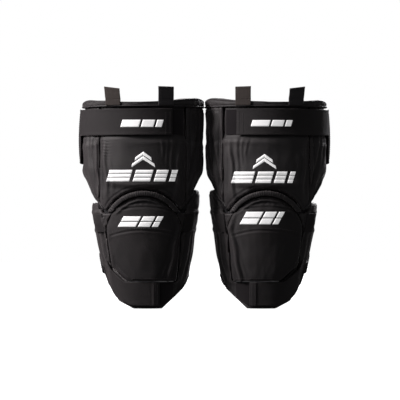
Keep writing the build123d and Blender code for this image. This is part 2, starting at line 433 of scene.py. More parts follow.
# ---- finishes ------------------------------------------------------------------------------------
class Shader:
    """Builds one material's nodes, a call for each node."""

    def __init__(self, name: str) -> None:
        """Starts an empty material with a Principled shader.

        Args:
            name: the material's name.
        """
        self.material = bpy.data.materials.new(name)
        self.material.use_nodes = True
        self.nodes = self.material.node_tree.nodes
        self.links = self.material.node_tree.links
        self.surface = self.nodes["Principled BSDF"]

    def feed(self, socket: bpy.types.NodeSocket, value: object) -> None:
        """Links a socket to a node's output, or sets its value.

        Args:
            socket: an input.
            value: an output or a value.
        """
        if isinstance(value, bpy.types.NodeSocket):
            self.links.new(value, socket)
        else:
            socket.default_value = value

    def math(self, operation: str, *values: object) -> bpy.types.NodeSocket:
        """A Math node.

        Args:
            operation: its kind.
            values: its inputs in order.

        Returns:
            Its output.
        """
        node = self.nodes.new("ShaderNodeMath")
        node.operation = operation
        for socket, value in zip(node.inputs, values):
            self.feed(socket, value)
        return node.outputs[0]

    def wave(self, value: object, period: float) -> bpy.types.NodeSocket:
        """A sine from 0 to 1 along a coordinate in metres, with its period in millimetres."""
        turned = self.math("MULTIPLY", value, math.tau / (period * MM))
        return self.math("MULTIPLY_ADD", self.math("SINE", turned), 0.5, 0.5)

    def crossing(self, u: object, v: object, period: float) -> bpy.types.NodeSocket:
        """Waves along two coordinates, one times the other."""
        return self.math("MULTIPLY", self.wave(u, period), self.wave(v, period))

    def noise(self, vector: object, scale: float, detail: float = 3.0) -> bpy.types.NodeSocket:
        """A Noise texture's value.

        Args:
            vector: where it is read.
            scale: how fine it is.
            detail: how many octaves.

        Returns:
            Its output.
        """
        node = self.nodes.new("ShaderNodeTexNoise")
        self.feed(node.inputs["Vector"], vector)
        node.inputs["Scale"].default_value = scale
        node.inputs["Detail"].default_value = detail
        return node.outputs["Fac"]

    def blend(self, share: object, first: Sequence[float], second: Sequence[float]) -> bpy.types.NodeSocket:
        """A colour between two.

        Args:
            share: how much of the second.
            first: a colour.
            second: another one.

        Returns:
            The mixed colour.
        """
        node = self.nodes.new("ShaderNodeMix")
        node.data_type = "RGBA"
        self.feed(node.inputs["Factor"], share)
        node.inputs[6].default_value, node.inputs[7].default_value = (*first, 1), (*second, 1)
        return node.outputs[2]

    def bump(self, height: object, distance: float, under: object = None) -> bpy.types.NodeSocket:
        """A Bump node, over another one's normal if given.

        Args:
            height: the height.
            distance: how high 1 is, in metres.
            under: another bump's normal.

        Returns:
            The normal.
        """
        node = self.nodes.new("ShaderNodeBump")
        node.inputs["Distance"].default_value = distance
        self.feed(node.inputs["Height"], height)
        if under is not None:
            self.links.new(under, node.inputs["Normal"])
        return node.outputs["Normal"]

    def cloth_axes(self) -> tuple:
        """The cloth's own two coordinates, in metres."""
        node = self.nodes.new("ShaderNodeUVMap")
        node.uv_map = CLOTH_UV
        split = self.nodes.new("ShaderNodeSeparateXYZ")
        self.links.new(node.outputs["UV"], split.inputs[0])
        return node.outputs["UV"], split.outputs[0], split.outputs[1]

    def wear(self) -> bpy.types.NodeSocket:
        """How much a point's colour is lightened: near its pad's edge, and a painted highlight where the
        cloth stands out.
        """
        node = self.nodes.new("ShaderNodeAttribute")
        node.attribute_name = PALE_EDGE_AND_RIDGE_HIGHLIGHT
        return node.outputs["Fac"]


@dataclass(frozen=True)
class Cloth:
    """A woven, knitted or moulded face: colours, gloss and thread."""

    name: str
    slot: str
    dark: tuple[float, float, float]
    light: tuple[float, float, float]
    weave: Weave
    pitch: float
    depth: float
    roughness: float = 0.62
    sheen: float = 0.15
    specular: float = 0.35
    cast: tuple[float, float, float] = (0.95, 0.86, 0.88)

    def build(self) -> bpy.types.Material:
        """Makes the material."""
        shader = Shader(self.name)
        surface = shader.surface
        place, u, v = shader.cloth_axes()
        thread = self._threads(shader, place, u, v)
        fade = shader.noise(place, 22.0, 4.0)
        fuzz = shader.noise(place, 900.0, 2.0)
        tone = shader.math("ADD", shader.math("MULTIPLY", fade, 0.7), shader.math("MULTIPLY", thread, 0.45))
        # Painted highlight: the colour is made lighter on raised folds, and paler near the pads' edges
        tone = shader.math("ADD", tone, shader.math("MULTIPLY", shader.wear(), 0.5))
        tone = shader.math("SUBTRACT", tone, 0.25)
        colour = shader.blend(tone, self.dark, self.light)
        shader.feed(surface.inputs["Base Color"], colour)
        gloss = shader.math("MULTIPLY_ADD", fade, 0.14, self.roughness - 0.07)
        shader.feed(surface.inputs["Roughness"], gloss)
        surface.inputs["Specular IOR Level"].default_value = self.specular
        surface.inputs["Sheen Weight"].default_value = self.sheen
        surface.inputs["Sheen Roughness"].default_value = 0.45
        surface.inputs["Sheen Tint"].default_value = (*self.cast, 1)
        normal = shader.bump(fuzz, 0.00008)
        normal = shader.bump(thread, self.depth * MM, normal)
        shader.feed(surface.inputs["Normal"], normal)
        return shader.material

    def _threads(self, shader: Shader, place: object, u: object, v: object) -> bpy.types.NodeSocket:
        """The height of the threads, from 0 to 1.

        Args:
            shader: the material's builder.
            place: the cloth's coordinates.
            u: the first of them.
            v: the second.

        Returns:
            The height.
        """
        if self.weave is Weave.TWILL:
            diagonal = shader.math("ADD", u, v)
            across = shader.math("SUBTRACT", u, v)
            fine = shader.math("MULTIPLY", shader.wave(across, self.pitch * 0.5), 0.35)
            return shader.math("ADD", shader.math("MULTIPLY", shader.wave(diagonal, self.pitch), 0.65), fine)
        if self.weave is Weave.RIB:
            rib = shader.math("POWER", shader.wave(v, self.pitch), 0.6)
            cross = shader.math("MULTIPLY", shader.wave(u, self.pitch * 0.32), 0.3)
            return shader.math("ADD", shader.math("MULTIPLY", rib, 0.7), cross)
        if self.weave is Weave.TAPE:
            zigzag = shader.math("ABSOLUTE", shader.math("PINGPONG", u, self.pitch * 2 * MM))
            return shader.wave(shader.math("ADD", v, zigzag), self.pitch)
        if self.weave is Weave.KNIT:
            sway = shader.math("MULTIPLY", shader.wave(v, self.pitch), self.pitch * 0.45 * MM)
            return shader.math("POWER", shader.wave(shader.math("ADD", u, sway), self.pitch), 0.7)
        if self.weave is Weave.PILE:
            return shader.noise(place, 1500.0, 4.0)
        if self.weave is Weave.HOOK:
            return shader.math("POWER", shader.crossing(u, v, self.pitch), 2.0)
        return shader.crossing(u, v, self.pitch)


@dataclass(frozen=True)
class Solid:
    """A plain moulded or printed face."""

    name: str
    slot: str
    colour: tuple[float, float, float]
    roughness: float
    grain: float
    # Emission that makes the face brighter than the lamps light it: painted light
    painted_glow: float = 0.0

    def build(self) -> bpy.types.Material:
        """Makes the material, mottled and pitted on the object's own coordinates."""
        shader = Shader(self.name)
        # Painted light: the face glows by its own emission
        shader.surface.inputs["Emission Color"].default_value = (1, 1, 1, 1)
        shader.surface.inputs["Emission Strength"].default_value = self.painted_glow
        where = shader.nodes.new("ShaderNodeTexCoord").outputs["Object"]
        mottle = shader.noise(where, 60.0, 4.0)
        shade = tuple(c * 0.82 for c in self.colour)
        shader.feed(shader.surface.inputs["Base Color"], shader.blend(mottle, shade, self.colour))
        gloss = shader.math("MULTIPLY_ADD", mottle, 0.2, self.roughness - 0.1)
        shader.feed(shader.surface.inputs["Roughness"], gloss)
        pits = shader.noise(where, self.grain, 2.0)
        shader.feed(shader.surface.inputs["Normal"], shader.bump(pits, 0.00012))
        return shader.material


BLACK = (0.0105, 0.0095, 0.0105)
SHELL = Cloth("shell_nylon", "shell_cloth", BLACK, (0.038, 0.033, 0.0345), Weave.PLAIN,
              pitch=0.75, depth=0.10, roughness=0.60, sheen=0.20, specular=0.40)
PANEL = Cloth("panel_twill", "panel_cloth", BLACK, (0.025, 0.022, 0.023), Weave.TWILL,
              pitch=1.25, depth=0.14, roughness=0.64, sheen=0.09, specular=0.27)
LINER = Cloth("liner_knit", "lining", (0.014, 0.014, 0.016), (0.040, 0.040, 0.044), Weave.KNIT,
              pitch=1.6, depth=0.18, roughness=0.85, sheen=0.25, specular=0.2)
BAND = Cloth("ribbed_elastic", "elastic", (0.010, 0.009, 0.010), (0.030, 0.0262, 0.0272), Weave.RIB,
             pitch=1.5, depth=0.22, roughness=0.64, sheen=0.12, specular=0.22)
LOOP = Cloth("loop_pile", "loop_tape", (0.007, 0.006, 0.007), (0.020, 0.018, 0.020), Weave.PILE,
             pitch=1.0, depth=0.30, roughness=0.95, sheen=0.35, specular=0.1)
HOOKS = Cloth("hook_face", "hook_tape", (0.010, 0.010, 0.011), (0.028, 0.027, 0.028), Weave.HOOK,
              pitch=1.4, depth=0.5, roughness=0.5, sheen=0.05)
WARM_TAB = Cloth("warm_webbing", "tab_webbing", (0.020, 0.015, 0.013), (0.048, 0.037, 0.033), Weave.TAPE,
                 pitch=1.7, depth=0.25, roughness=0.75, sheen=0.25, specular=0.3)
GREY_TAB = Cloth("grey_webbing", "tab_webbing", (0.016, 0.015, 0.017), (0.042, 0.039, 0.043), Weave.TAPE,
                 pitch=1.7, depth=0.25, roughness=0.75, sheen=0.25, specular=0.3)
BINDING = Cloth("edge_binding", "shell_cloth", (0.010, 0.009, 0.010), (0.030, 0.027, 0.030), Weave.RIB,
                pitch=1.1, depth=0.10, roughness=0.55, sheen=0.15)
THREAD = Cloth("sewing_thread", "shell_cloth", (0.020, 0.018, 0.020), (0.055, 0.050, 0.054), Weave.TAPE,
               pitch=0.5, depth=0.05, roughness=0.5, sheen=0.1)
FOAM = Solid("foam_core", "foam", (0.10, 0.10, 0.11), 0.9, 1400.0)
SHEET = Solid("plastic_sheet", "plate", (0.52, 0.52, 0.54), 0.45, 300.0)
# The white print glows a little: painted light that keeps the marks bright
INK = Solid("white_print", "printed_mark", (0.90, 0.90, 0.91), 0.5, 2200.0, 0.38)


# ---- surfaces to lay things on -------------------------------------------------------------------
class Ground:
    """The finished surfaces of a guard, which marks, stitches and tapes are laid on."""

    def __init__(self, shapes: Sequence[Shape]) -> None:
        """Takes the shapes that can be laid on."""
        whole = merge(shapes)
        self.tree = BVHTree.FromPolygons(whole.points.tolist(), whole.faces)

    def front(self, x: float, z: float) -> tuple[Array, Array] | None:
        """The first point and its normal behind this place in front view."""
        hit = self.tree.ray_cast(Vector((x, -200, z)), Vector((0, 1, 0)))
        return None if hit[0] is None else (np.array(hit[0]), np.array(hit[1]))

    def around(self, form: Form, turn: float, z: float) -> tuple[Array, Array] | None:
        """The outermost point and its normal at this turn and height.

        Args:
            form: the shell that the turn is on.
            turn: how far round the leg.
            z: how high.

        Returns:
            The point and its normal, or None if nothing is there.
        """
        near, far = form.place(np.array([turn, turn]), np.array([z, z]), np.array([0.0, 45.0]))
        hit = self.tree.ray_cast(Vector(far), Vector(near - far))
        return None if hit[0] is None else (np.array(hit[0]), np.array(hit[1]))


# ---- making pieces -------------------------------------------------------------------------------
class Bench:
    """Turns shapes into pieces in the frame, each finished and riding on its body."""

    def __init__(self, leg: Leg, materials: dict[str, bpy.types.Material]) -> None:
        """Takes the leg whose guard is being made."""
        self.leg = leg
        self.materials = materials

    def world(self, points: Array) -> Array:
        """From a guard's own frame in millimetres to the shared one in metres.

        Args:
            points: points in a guard's own frame.

        Returns:
            The same points in the shared frame.
        """
        x, y, z = points.T
        side = 1 if self.leg is Leg.RIGHT else -1
        return np.stack([side * (x - GUARD_APART), y + DEPTH_SHIFT, z], axis=1) * MM

    def add(self, name: str, shape: Shape, finish: Cloth | Solid, body: str, nodes: Iterable[str] = (),
            fill: float | None = None, form: Form = THIGH) -> None:
        """Makes one piece.

        Args:
            name: the piece's name without the leg.
            shape: its surface.
            finish: what it is made of.
            body: the CAD body that it rides on, without the leg.
            nodes: the CAD nodes that it stands for, without the leg.
            fill: how full it is, for a padded piece; not used.
            form: the shell whose unrolled surface gives the cloth's coordinates where the shape has none.
        """
        leg = self.leg.value
        faces = shape.faces if self.leg is Leg.RIGHT else [tuple(reversed(f)) for f in shape.faces]
        mesh = bpy.data.meshes.new(f"{leg}_{name}")
        mesh.from_pydata(self.world(shape.points).tolist(), [], faces)
        self._lay_cloth(mesh, shape, form)
        # Per-point lightening of the colour: paler near edges, and a painted highlight on raised folds
        attribute = mesh.attributes.new(PALE_EDGE_AND_RIDGE_HIGHLIGHT, "FLOAT", "POINT")
        wear = shape.wear if shape.wear is not None else np.zeros(len(shape.points))
        attribute.data.foreach_set("value", wear.astype(np.float32))
        mesh.shade_smooth()
        mesh.materials.append(self.materials[finish.name])
        piece = bpy.data.objects.new(f"{leg}_{name}", mesh)
        bpy.context.scene.collection.objects.link(piece)
        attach(piece, f"{leg}_{body}")
        if nodes:
            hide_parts(*[f"{leg}_{node}" for node in nodes])
        LOG.info("%s: %d faces", piece.name, len(faces))

    def _lay_cloth(self, mesh: bpy.types.Mesh, shape: Shape, form: Form) -> None:
        """Gives a mesh the cloth's own coordinates, in metres.

        Args:
            mesh: the piece's mesh.
            shape: what it was made from.
            form: the shell to unroll it from, where the shape has no coordinates.
        """
        corner = np.zeros(len(mesh.loops), np.int32)
        mesh.loops.foreach_get("vertex_index", corner)
        if shape.uv is not None:
            uv = shape.uv[corner]
        else:
            turn, out = form.unroll(shape.points)
            uv = np.stack([turn * form.girth, shape.points[:, 2] + 0.5 * out], axis=1)[corner]
            starts = np.zeros(len(mesh.polygons), np.int32)
            mesh.polygons.foreach_get("loop_start", starts)
            sizes = np.diff(np.append(starts, len(corner)))
            first = np.repeat(uv[starts, 0], sizes)
            lap = math.tau * form.girth
            uv[:, 0] -= lap * np.round((uv[:, 0] - first) / lap)
        layer = mesh.uv_layers.new(name=CLOTH_UV)
        layer.data.foreach_set("uv", (uv * MM).astype(np.float32).ravel())


@dataclass(frozen=True)
class Pad:
    """A padded piece, swollen from CAD solids.

    Lengths are in millimetres: the voxels that it is remeshed with, how much it shrinks before it
    swells and by how much at most it swells, and how far its long sides reach round the leg.
    """

    name: str
    nodes: tuple[str, ...]
    form: Form
    finish: Cloth
    body: str
    relief: Relief
    voxel: float
    fill: float
    levels: int = 0
    shrink: float = 0.0
    swell: float = 0.3
    replaced: tuple[str, ...] | None = None
    reach: float = 0.0


class PadShop:
    """Swells the pads of the right guard; the left one's are mirrored from the same shapes."""

    FRAMES = 20
    PRESSURE = 4.0

    def __init__(self, frame: dict) -> None:
        """Takes the loaded frame."""
        self.nodes = frame["nodes"]

    def copy(self, names: Iterable[str]) -> bpy.types.Object:
        """A new object from CAD nodes of the right guard, its triangles joined up.

        Args:
            names: the nodes without the leg.

        Returns:
            The object, linked to the scene.
        """
        work = bmesh.new()
        for name in names:
            work.from_mesh(self.nodes[f"right_{name}"].data)
        bmesh.ops.remove_doubles(work, verts=work.verts, dist=1e-5)
        mesh = bpy.data.meshes.new("pad")
        work.to_mesh(mesh)
        work.free()
        piece = bpy.data.objects.new("pad", mesh)
        bpy.context.scene.collection.objects.link(piece)
        return piece

    def shape(self, piece: bpy.types.Object) -> Shape:
        """An object's mesh in the right guard's own frame, in millimetres.

        Args:
            piece: the object.

        Returns:
            Its points and faces.
        """
        mesh = piece.data
        points = np.zeros(len(mesh.vertices) * 3)
        mesh.vertices.foreach_get("co", points)
        points = points.reshape(-1, 3) / MM + np.array([GUARD_APART, -DEPTH_SHIFT, 0])
        return Shape(points, [tuple(p.vertices) for p in mesh.polygons])

    def _apply(self, piece: bpy.types.Object, modifier: bpy.types.Modifier) -> None:
        """Applies a modifier to a piece."""
        with bpy.context.temp_override(object=piece, active_object=piece, selected_objects=[piece]):
            bpy.ops.object.modifier_apply(modifier=modifier.name)

    def _read(self, piece: bpy.types.Object) -> Array:
        """A piece's points as its modifiers leave them, in metres.

        Args:
            piece: the object.

        Returns:
            The points.
        """
        mesh = piece.evaluated_get(bpy.context.evaluated_depsgraph_get()).data
        points = np.zeros(len(mesh.vertices) * 3)
        mesh.vertices.foreach_get("co", points)
        return points.reshape(-1, 3)

    def swell(self, pads: Sequence[Pad]) -> dict[str, Shape]:
        """Remeshes every pad, inflates them together as cloth, and subdivides them.

        Args:
            pads: what to make.

        Returns:
            Each pad's shape by name.
        """
        pieces = {}
        for pad in pads:
            piece = self.copy(pad.nodes)
            self._remesh(piece, pad)
            pieces[pad.name] = piece
        starts = {name: self._read(piece) for name, piece in pieces.items()}
        self._inflate(list(pieces.values()))
        shapes = {}
        for pad in pads:
            piece = pieces[pad.name]
            self._settle(piece, pad, starts[pad.name])
            shapes[pad.name] = self.shape(piece)
            mesh = piece.data
            bpy.data.objects.remove(piece)
            bpy.data.meshes.remove(mesh)
        return shapes

    def _remesh(self, piece: bpy.types.Object, pad: Pad) -> None:
        """Gives a copied solid an even mesh, a little smaller than it was.

        Args:
            piece: the copy.
            pad: what it is.
        """
        remesh = piece.modifiers.new("Remesh", "REMESH")
        remesh.mode = "VOXEL"
        remesh.voxel_size = pad.voxel * MM
        self._apply(piece, remesh)
        even = piece.modifiers.new("Smooth", "SMOOTH")
        even.factor, even.iterations = (0.5, 2) if pad.levels else (0.3, 1)
        self._apply(piece, even)
        if pad.shrink:
            inset = piece.modifiers.new("Inset", "DISPLACE")
            inset.mid_level, inset.strength, inset.direction = 0.0, -pad.shrink * MM, "NORMAL"
            self._apply(piece, inset)

    def _settle(self, piece: bpy.types.Object, pad: Pad, start: Array) -> None:
        """Keeps as much of the swelling as a pad has room for, and subdivides it.

        Args:
            piece: the pad's object, as its cloth left it.
            pad: what it is.
            start: its points before it was inflated.
        """
        end = self._read(piece)
        piece.modifiers.clear()
        shape = self.shape(piece)
        spots = spots_of(shape, pad.form)
        move = end - start
        room = np.where(spots.facing > 0, 0.25 + 0.75 * step(spots.edge, 0, 20), 0.12) * pad.swell * MM
        length = np.linalg.norm(move, axis=1)
        move *= (np.minimum(length, room) / np.maximum(length, TINY))[:, None]
        piece.data.vertices.foreach_set("co", (start + move).astype(np.float32).ravel())
        if pad.levels:
            finer = piece.modifiers.new("Finer", "SUBSURF")
            finer.levels = finer.render_levels = pad.levels
            self._apply(piece, finer)

    def _inflate(self, pieces: Sequence[bpy.types.Object]) -> None:
        """Runs the cloth of all the pads until the pressure has filled them.

        Args:
            pieces: the remeshed pads.
        """
        for piece in pieces:
            cloth = piece.modifiers.new("Cloth", "CLOTH")
            cloth.settings.use_pressure = True
            cloth.settings.uniform_pressure_force = self.PRESSURE
            cloth.settings.effector_weights.gravity = 0.0
            cloth.settings.quality = 4
            cloth.collision_settings.use_collision = False
            cloth.point_cache.frame_start, cloth.point_cache.frame_end = 1, self.FRAMES
        for frame in range(1, self.FRAMES + 1):
            bpy.context.scene.frame_set(frame)


def spots_of(shape: Shape, form: Form) -> Spots:
    """Where each of a shape's points is on its form.

    Args:
        shape: a swollen pad.
        form: the shell that it lies on.

    Returns:
        The places.
    """
    turn, out = form.unroll(shape.points)
    normal = shape.normals()
    away = np.stack([np.sin(turn), -np.cos(turn), 0 * turn], axis=1)
    facing = (normal * away).sum(axis=1)
    rim = np.flatnonzero(np.abs(facing) < 0.55)
    edge = np.full(len(turn), FAR_FROM_EDGE)
    if len(rim):
        tree = KDTree(len(rim))
        for k in rim:
            tree.insert(shape.points[k], int(k))
        tree.balance()
        edge = np.array([tree.find(point)[2] for point in shape.points])
    return Spots(*shape.points.T, turn, out, facing, edge)


def sculpt(shape: Shape, pad: Pad, seed: int) -> Shape:
    """A swollen pad with its seams, folds and creases, and how its colour is lightened: paler near its edges,
    and a painted highlight on its raised folds.

    Args:
        shape: the swollen pad.
        pad: what it is.
        seed: picks the lie of its cloth.

    Returns:
        A new shape.
    """
    spots = spots_of(shape, pad.form)
    lift = pad.relief(spots, seed)
    shaped = Shape(shape.points + shape.normals() * lift[:, None], shape.faces)
    if pad.reach:
        side = np.where(spots.x < 0, -1, 1)
        near = bell(np.abs(spots.x) - SEAM_X, 5.0) * pad.reach / pad.form.girth
        turn, out = pad.form.unroll(shaped.points)
        shaped.points = pad.form.place(turn + side * near, shaped.points[:, 2], out)
    # Paler near the edges, plus a painted highlight that grows with how far the cloth stands out
    shaped.wear = np.clip(0.9 * bell(spots.edge, 2.5) + 0.35 * lift, 0, 1)
    return shaped


# ---- folds and seams -----------------------------------------------------------------------------
def slack(s: Spots, seed: int, large: float = 0.6, small: float = 0.22) -> Array:
    """The uneven lie of cloth over foam."""
    u = s.turn * THIGH.girth
    return large * undulation(u, s.z, 46, seed) + small * undulation(u, s.z, 15, seed + 1, 2.2)


def groove(distance: Array, depth: float, width: float = 1.3) -> Array:
    """A sewn channel with the cloth rising on both sides."""
    banks = bell(distance - 2.6, 2.0) + bell(distance + 2.6, 2.0)
    return -depth * bell(distance, width) + 0.45 * depth * banks


def boxed(wave: Array) -> Array:
    """A sine or cosine whose circle is swollen towards a square."""
    return np.sign(wave) * np.abs(wave) ** 0.62


def fold(distance: Array, height: float, width: float) -> Array:
    """A soft ridge with a hollow on one side."""
    return height * bell(distance, width) - 0.55 * height * bell(distance - 1.7 * width, width)


def off_line(distance: Array, pitch: float) -> Array:
    """How far points are from the nearest of evenly spaced lines."""
    return np.abs(distance / pitch - np.round(distance / pitch)) * pitch


def away_from(x: Array, z: Array, start: Point, end: Point) -> tuple[Array, Array]:
    """How far points are to one side of a line, and where they are along it, from 0 to 1.

    Args:
        x: where the points are across the front.
        z: how high they are.
        start: the start of the line.
        end: its end.

    Returns:
        The distances and the shares.
    """
    dx, dz = end[0] - start[0], end[1] - start[1]
    length = math.hypot(dx, dz)
    side = ((x - start[0]) * dz - (z - start[1]) * dx) / length
    return side, ((x - start[0]) * dx + (z - start[1]) * dz) / length**2


def within(share: Array, soft: float = 0.15) -> Array:
    """1 along a line and fading at its ends."""
    return step(share, -soft, soft) * (1 - step(share, 1 - soft, 1 + soft))


# Folds down a front panel: the two ends in front view, the height and the width.
THIGH_FOLDS = (
    ((-59, 258), (-54, 176), 2.0, 3.0),
    ((57, 252), (52, 174), 2.1, 3.2),
    ((-49, 232), (-45, 182), 0.9, 3.0),
    ((45, 262), (47, 205), 1.1, 3.0),
    ((38, 258), (40, 222), 0.7, 2.2),
    ((28, 260), (33, 236), 0.45, 2.0),
)
SHIN_FOLDS = (
    ((55, 124), (40, 44), 3.0, 3.0),
    ((48, 104), (34, 52), 1.1, 2.6),
    ((-52, 122), (-44, 60), 1.6, 2.6),
    ((50, 150), (56, 118), 1.3, 3.0),
    ((-44, 66), (-18, 44), 1.0, 2.4),
)
# Folds down a side panel: how far round the leg they start and end, the height and the width.
WING_FOLDS = ((68, 74, 2.2, 2.8), (71, 86, 1.7, 3.6), (74, 101, 1.3, 4.4), (78, 120, 1.1, 5.4))
CALF_FOLDS = ((60, 66, 1.5, 3.2), (72, 78, 1.2, 4.0), (90, 84, 1.0, 4.5), (108, 96, 0.8, 5.0))


def thigh_panel_relief(s: Spots, seed: int) -> Array:
    """The front panel: creases under the strap and over the knee, upright folds by its seams.

    Args:
        s: where the points are.
        seed: picks the lie of the cloth.

    Returns:
        How far each point stands out.
    """
    lift = slack(s, seed) + groove(s.edge - 5, 0.5)
    lift += fold(s.z - 255 - 0.03 * s.x, 1.3, 4.5) * step(s.x, -40, 25)
    lift += fold(190 + 0.0016 * s.x**2 - s.z, 1.5, 4.5) * (1 - step(np.abs(s.x), 40, 62))
    for start, end, height, width in THIGH_FOLDS:
        side, share = away_from(s.x, s.z, start, end)
        lift += fold(side + 1.2 * np.sin(s.z / 9 + seed), height, width) * within(share, 0.25)
    gathers = np.sin(math.tau * (s.z + 0.6 * np.sin(s.x / 3)) / 4.6)
    lift += 0.5 * gathers * bell(s.x + 58, 9) * bell(s.z - 246, 17)
    pressed = step(s.z, 260, 268)
    return (lift * (1 - 0.85 * pressed) - 2.3 * pressed) * step(s.facing, 0.1, 0.6)


def thigh_wing_relief(s: Spots, seed: int) -> Array:
    """A side panel: folds that run down into its point.

    Args:
        s: where the points are.
        seed: picks the lie of the cloth.

    Returns:
        How far each point stands out.
    """
    u, side = np.abs(s.turn) * THIGH.girth, np.sign(np.mean(s.turn))
    lift = slack(s, seed + 5 * int(side), 0.8, 0.3) + groove(s.edge - 6, 0.6)
    tip = step(s.z, 150, 300)
    for near, far, height, width in WING_FOLDS:
        centre = near + (far - near) * tip + 2 * np.sin(s.z / 21 + near + seed)
        lift += fold(u - centre, height, width) * step(s.z, 150, 175) * (1 - 0.6 * step(s.z, 250, 300))
    lift += fold(s.z - 256 + 0.05 * u, 0.8, 4.0)
    pressed = step(s.z, 260, 268) * (side < 0)
    return (lift * (1 - 0.85 * pressed) - 2.0 * pressed) * step(s.facing, 0.1, 0.6)


def knee_panel_relief(s: Spots, seed: int) -> Array:
    """The knee cup and shin: a quilted band under the roll, a crease, a dome and a seam below it.

    Args:
        s: where the points are.
        seed: picks the lie of the cloth.

    Returns:
        How far each point stands out.
    """
    x, radius = s.x - ARCH_X, np.hypot(s.x - ARCH_X, s.z - ARCH_Z)
    crease = 157.5 - 0.0032 * x**2
    upper = step(s.z, 143, 150)
    band = step(s.z - crease, 0, 5)
    lift = slack(s, seed, 0.5, 0.2) - 2.6 * band
    lift += 2.8 * bell(radius - 49.5, 2.0) * upper * (1 - step(np.abs(x + 6), 30, 52))
    lift += 0.75 * np.sin(s.x * 0.42 + seed) * np.sin(s.z * 0.5 + 0.3 * s.x) * band * (radius < 47)
    lift += -1.6 * bell(s.z - crease + 1, 1.6) * (1 - step(np.abs(x), 40, 54))
    lift += 3.4 * bell(np.hypot(x / 46, (s.z - 128) / 34), 0.85)
    lift += groove(s.z - 121 + 0.0035 * x**2, 0.9, 1.5) * (1 - step(np.abs(x), 46, 54))
    lift += 1.6 * bell(np.hypot(x / 44, (s.z - 84) / 38), 0.8)
    for start, end, height, width in SHIN_FOLDS:
        side, share = away_from(s.x, s.z, start, end)
        lift += fold(side + 0.8 * np.sin(s.z / 8 + seed), height, width) * within(share, 0.2)
    return lift * step(s.facing, 0.1, 0.6)


def calf_wing_relief(s: Spots, seed: int) -> Array:
    """A lower side panel: long folds that fall from the knee strap towards the calf.

    Args:
        s: where the points are.
        seed: picks the lie of the cloth.

    Returns:
        How far each point stands out.
    """
    u, side = np.abs(s.turn) * KNEE.girth, np.sign(np.mean(s.turn))
    lift = slack(s, seed + 9 * int(side), 0.7, 0.3) + groove(s.edge - 5, 0.4)
    for low, high, height, width in CALF_FOLDS:
        centre = low + (high - low) * step(s.z, 40, 150) + 2.2 * np.sin(s.z / 13 + low + seed)
        lift += fold(u - centre, height, width) * step(s.z, 38, 60) * (1 - step(s.z, 138, 158))
    lift += fold(s.z - 112 - 0.08 * u, 0.9, 3.4) + fold(s.z - 148, 1.0, 3.0)
    pressed = (1 - step(s.z, 36, 44)) * (1 - step(u, 66, 78))
    lift = (lift * (1 - 0.85 * pressed) - 1.9 * pressed) * step(s.facing, 0.1, 0.6)
    top = 163 if side < 0 else 183
    return lift - 3.2 * step(s.z, top - 14, top + 2) ** 2 * step(s.facing, -0.2, 0.4)


def roll_relief(s: Spots, seed: int) -> Array:
    """The padded roll over the knee cup, lightly puckered by its stitching."""
    around = np.degrees(np.arctan2(s.z - ARCH_Z, s.x - ARCH_X))
    return 0.35 * np.sin(around * 1.9 + seed) + 0.2 * undulation(s.x, s.z, 12, seed)


def quilt_relief(s: Spots, seed: int) -> Array:
    """Quilting in diamonds on the side that lies against the leg.

    Args:
        s: where the points are.
        seed: picks the lie of the cloth.

    Returns:
        How far each point stands out.
    """
    u, pitch = s.turn * 80, 25.0
    line = np.minimum(off_line(u + s.z, pitch), off_line(u - s.z, pitch))
    return (0.6 - 1.7 * bell(line, 1.9)) * step(-s.facing, 0.3, 0.7) * step(s.edge, 1, 7)


def tongue_relief(s: Spots, seed: int) -> Array:
    """Level channels across the tongue."""
    return (0.4 - 1.0 * bell(off_line(s.z, 16.0), 1.5)) * step(s.edge, 1, 6)


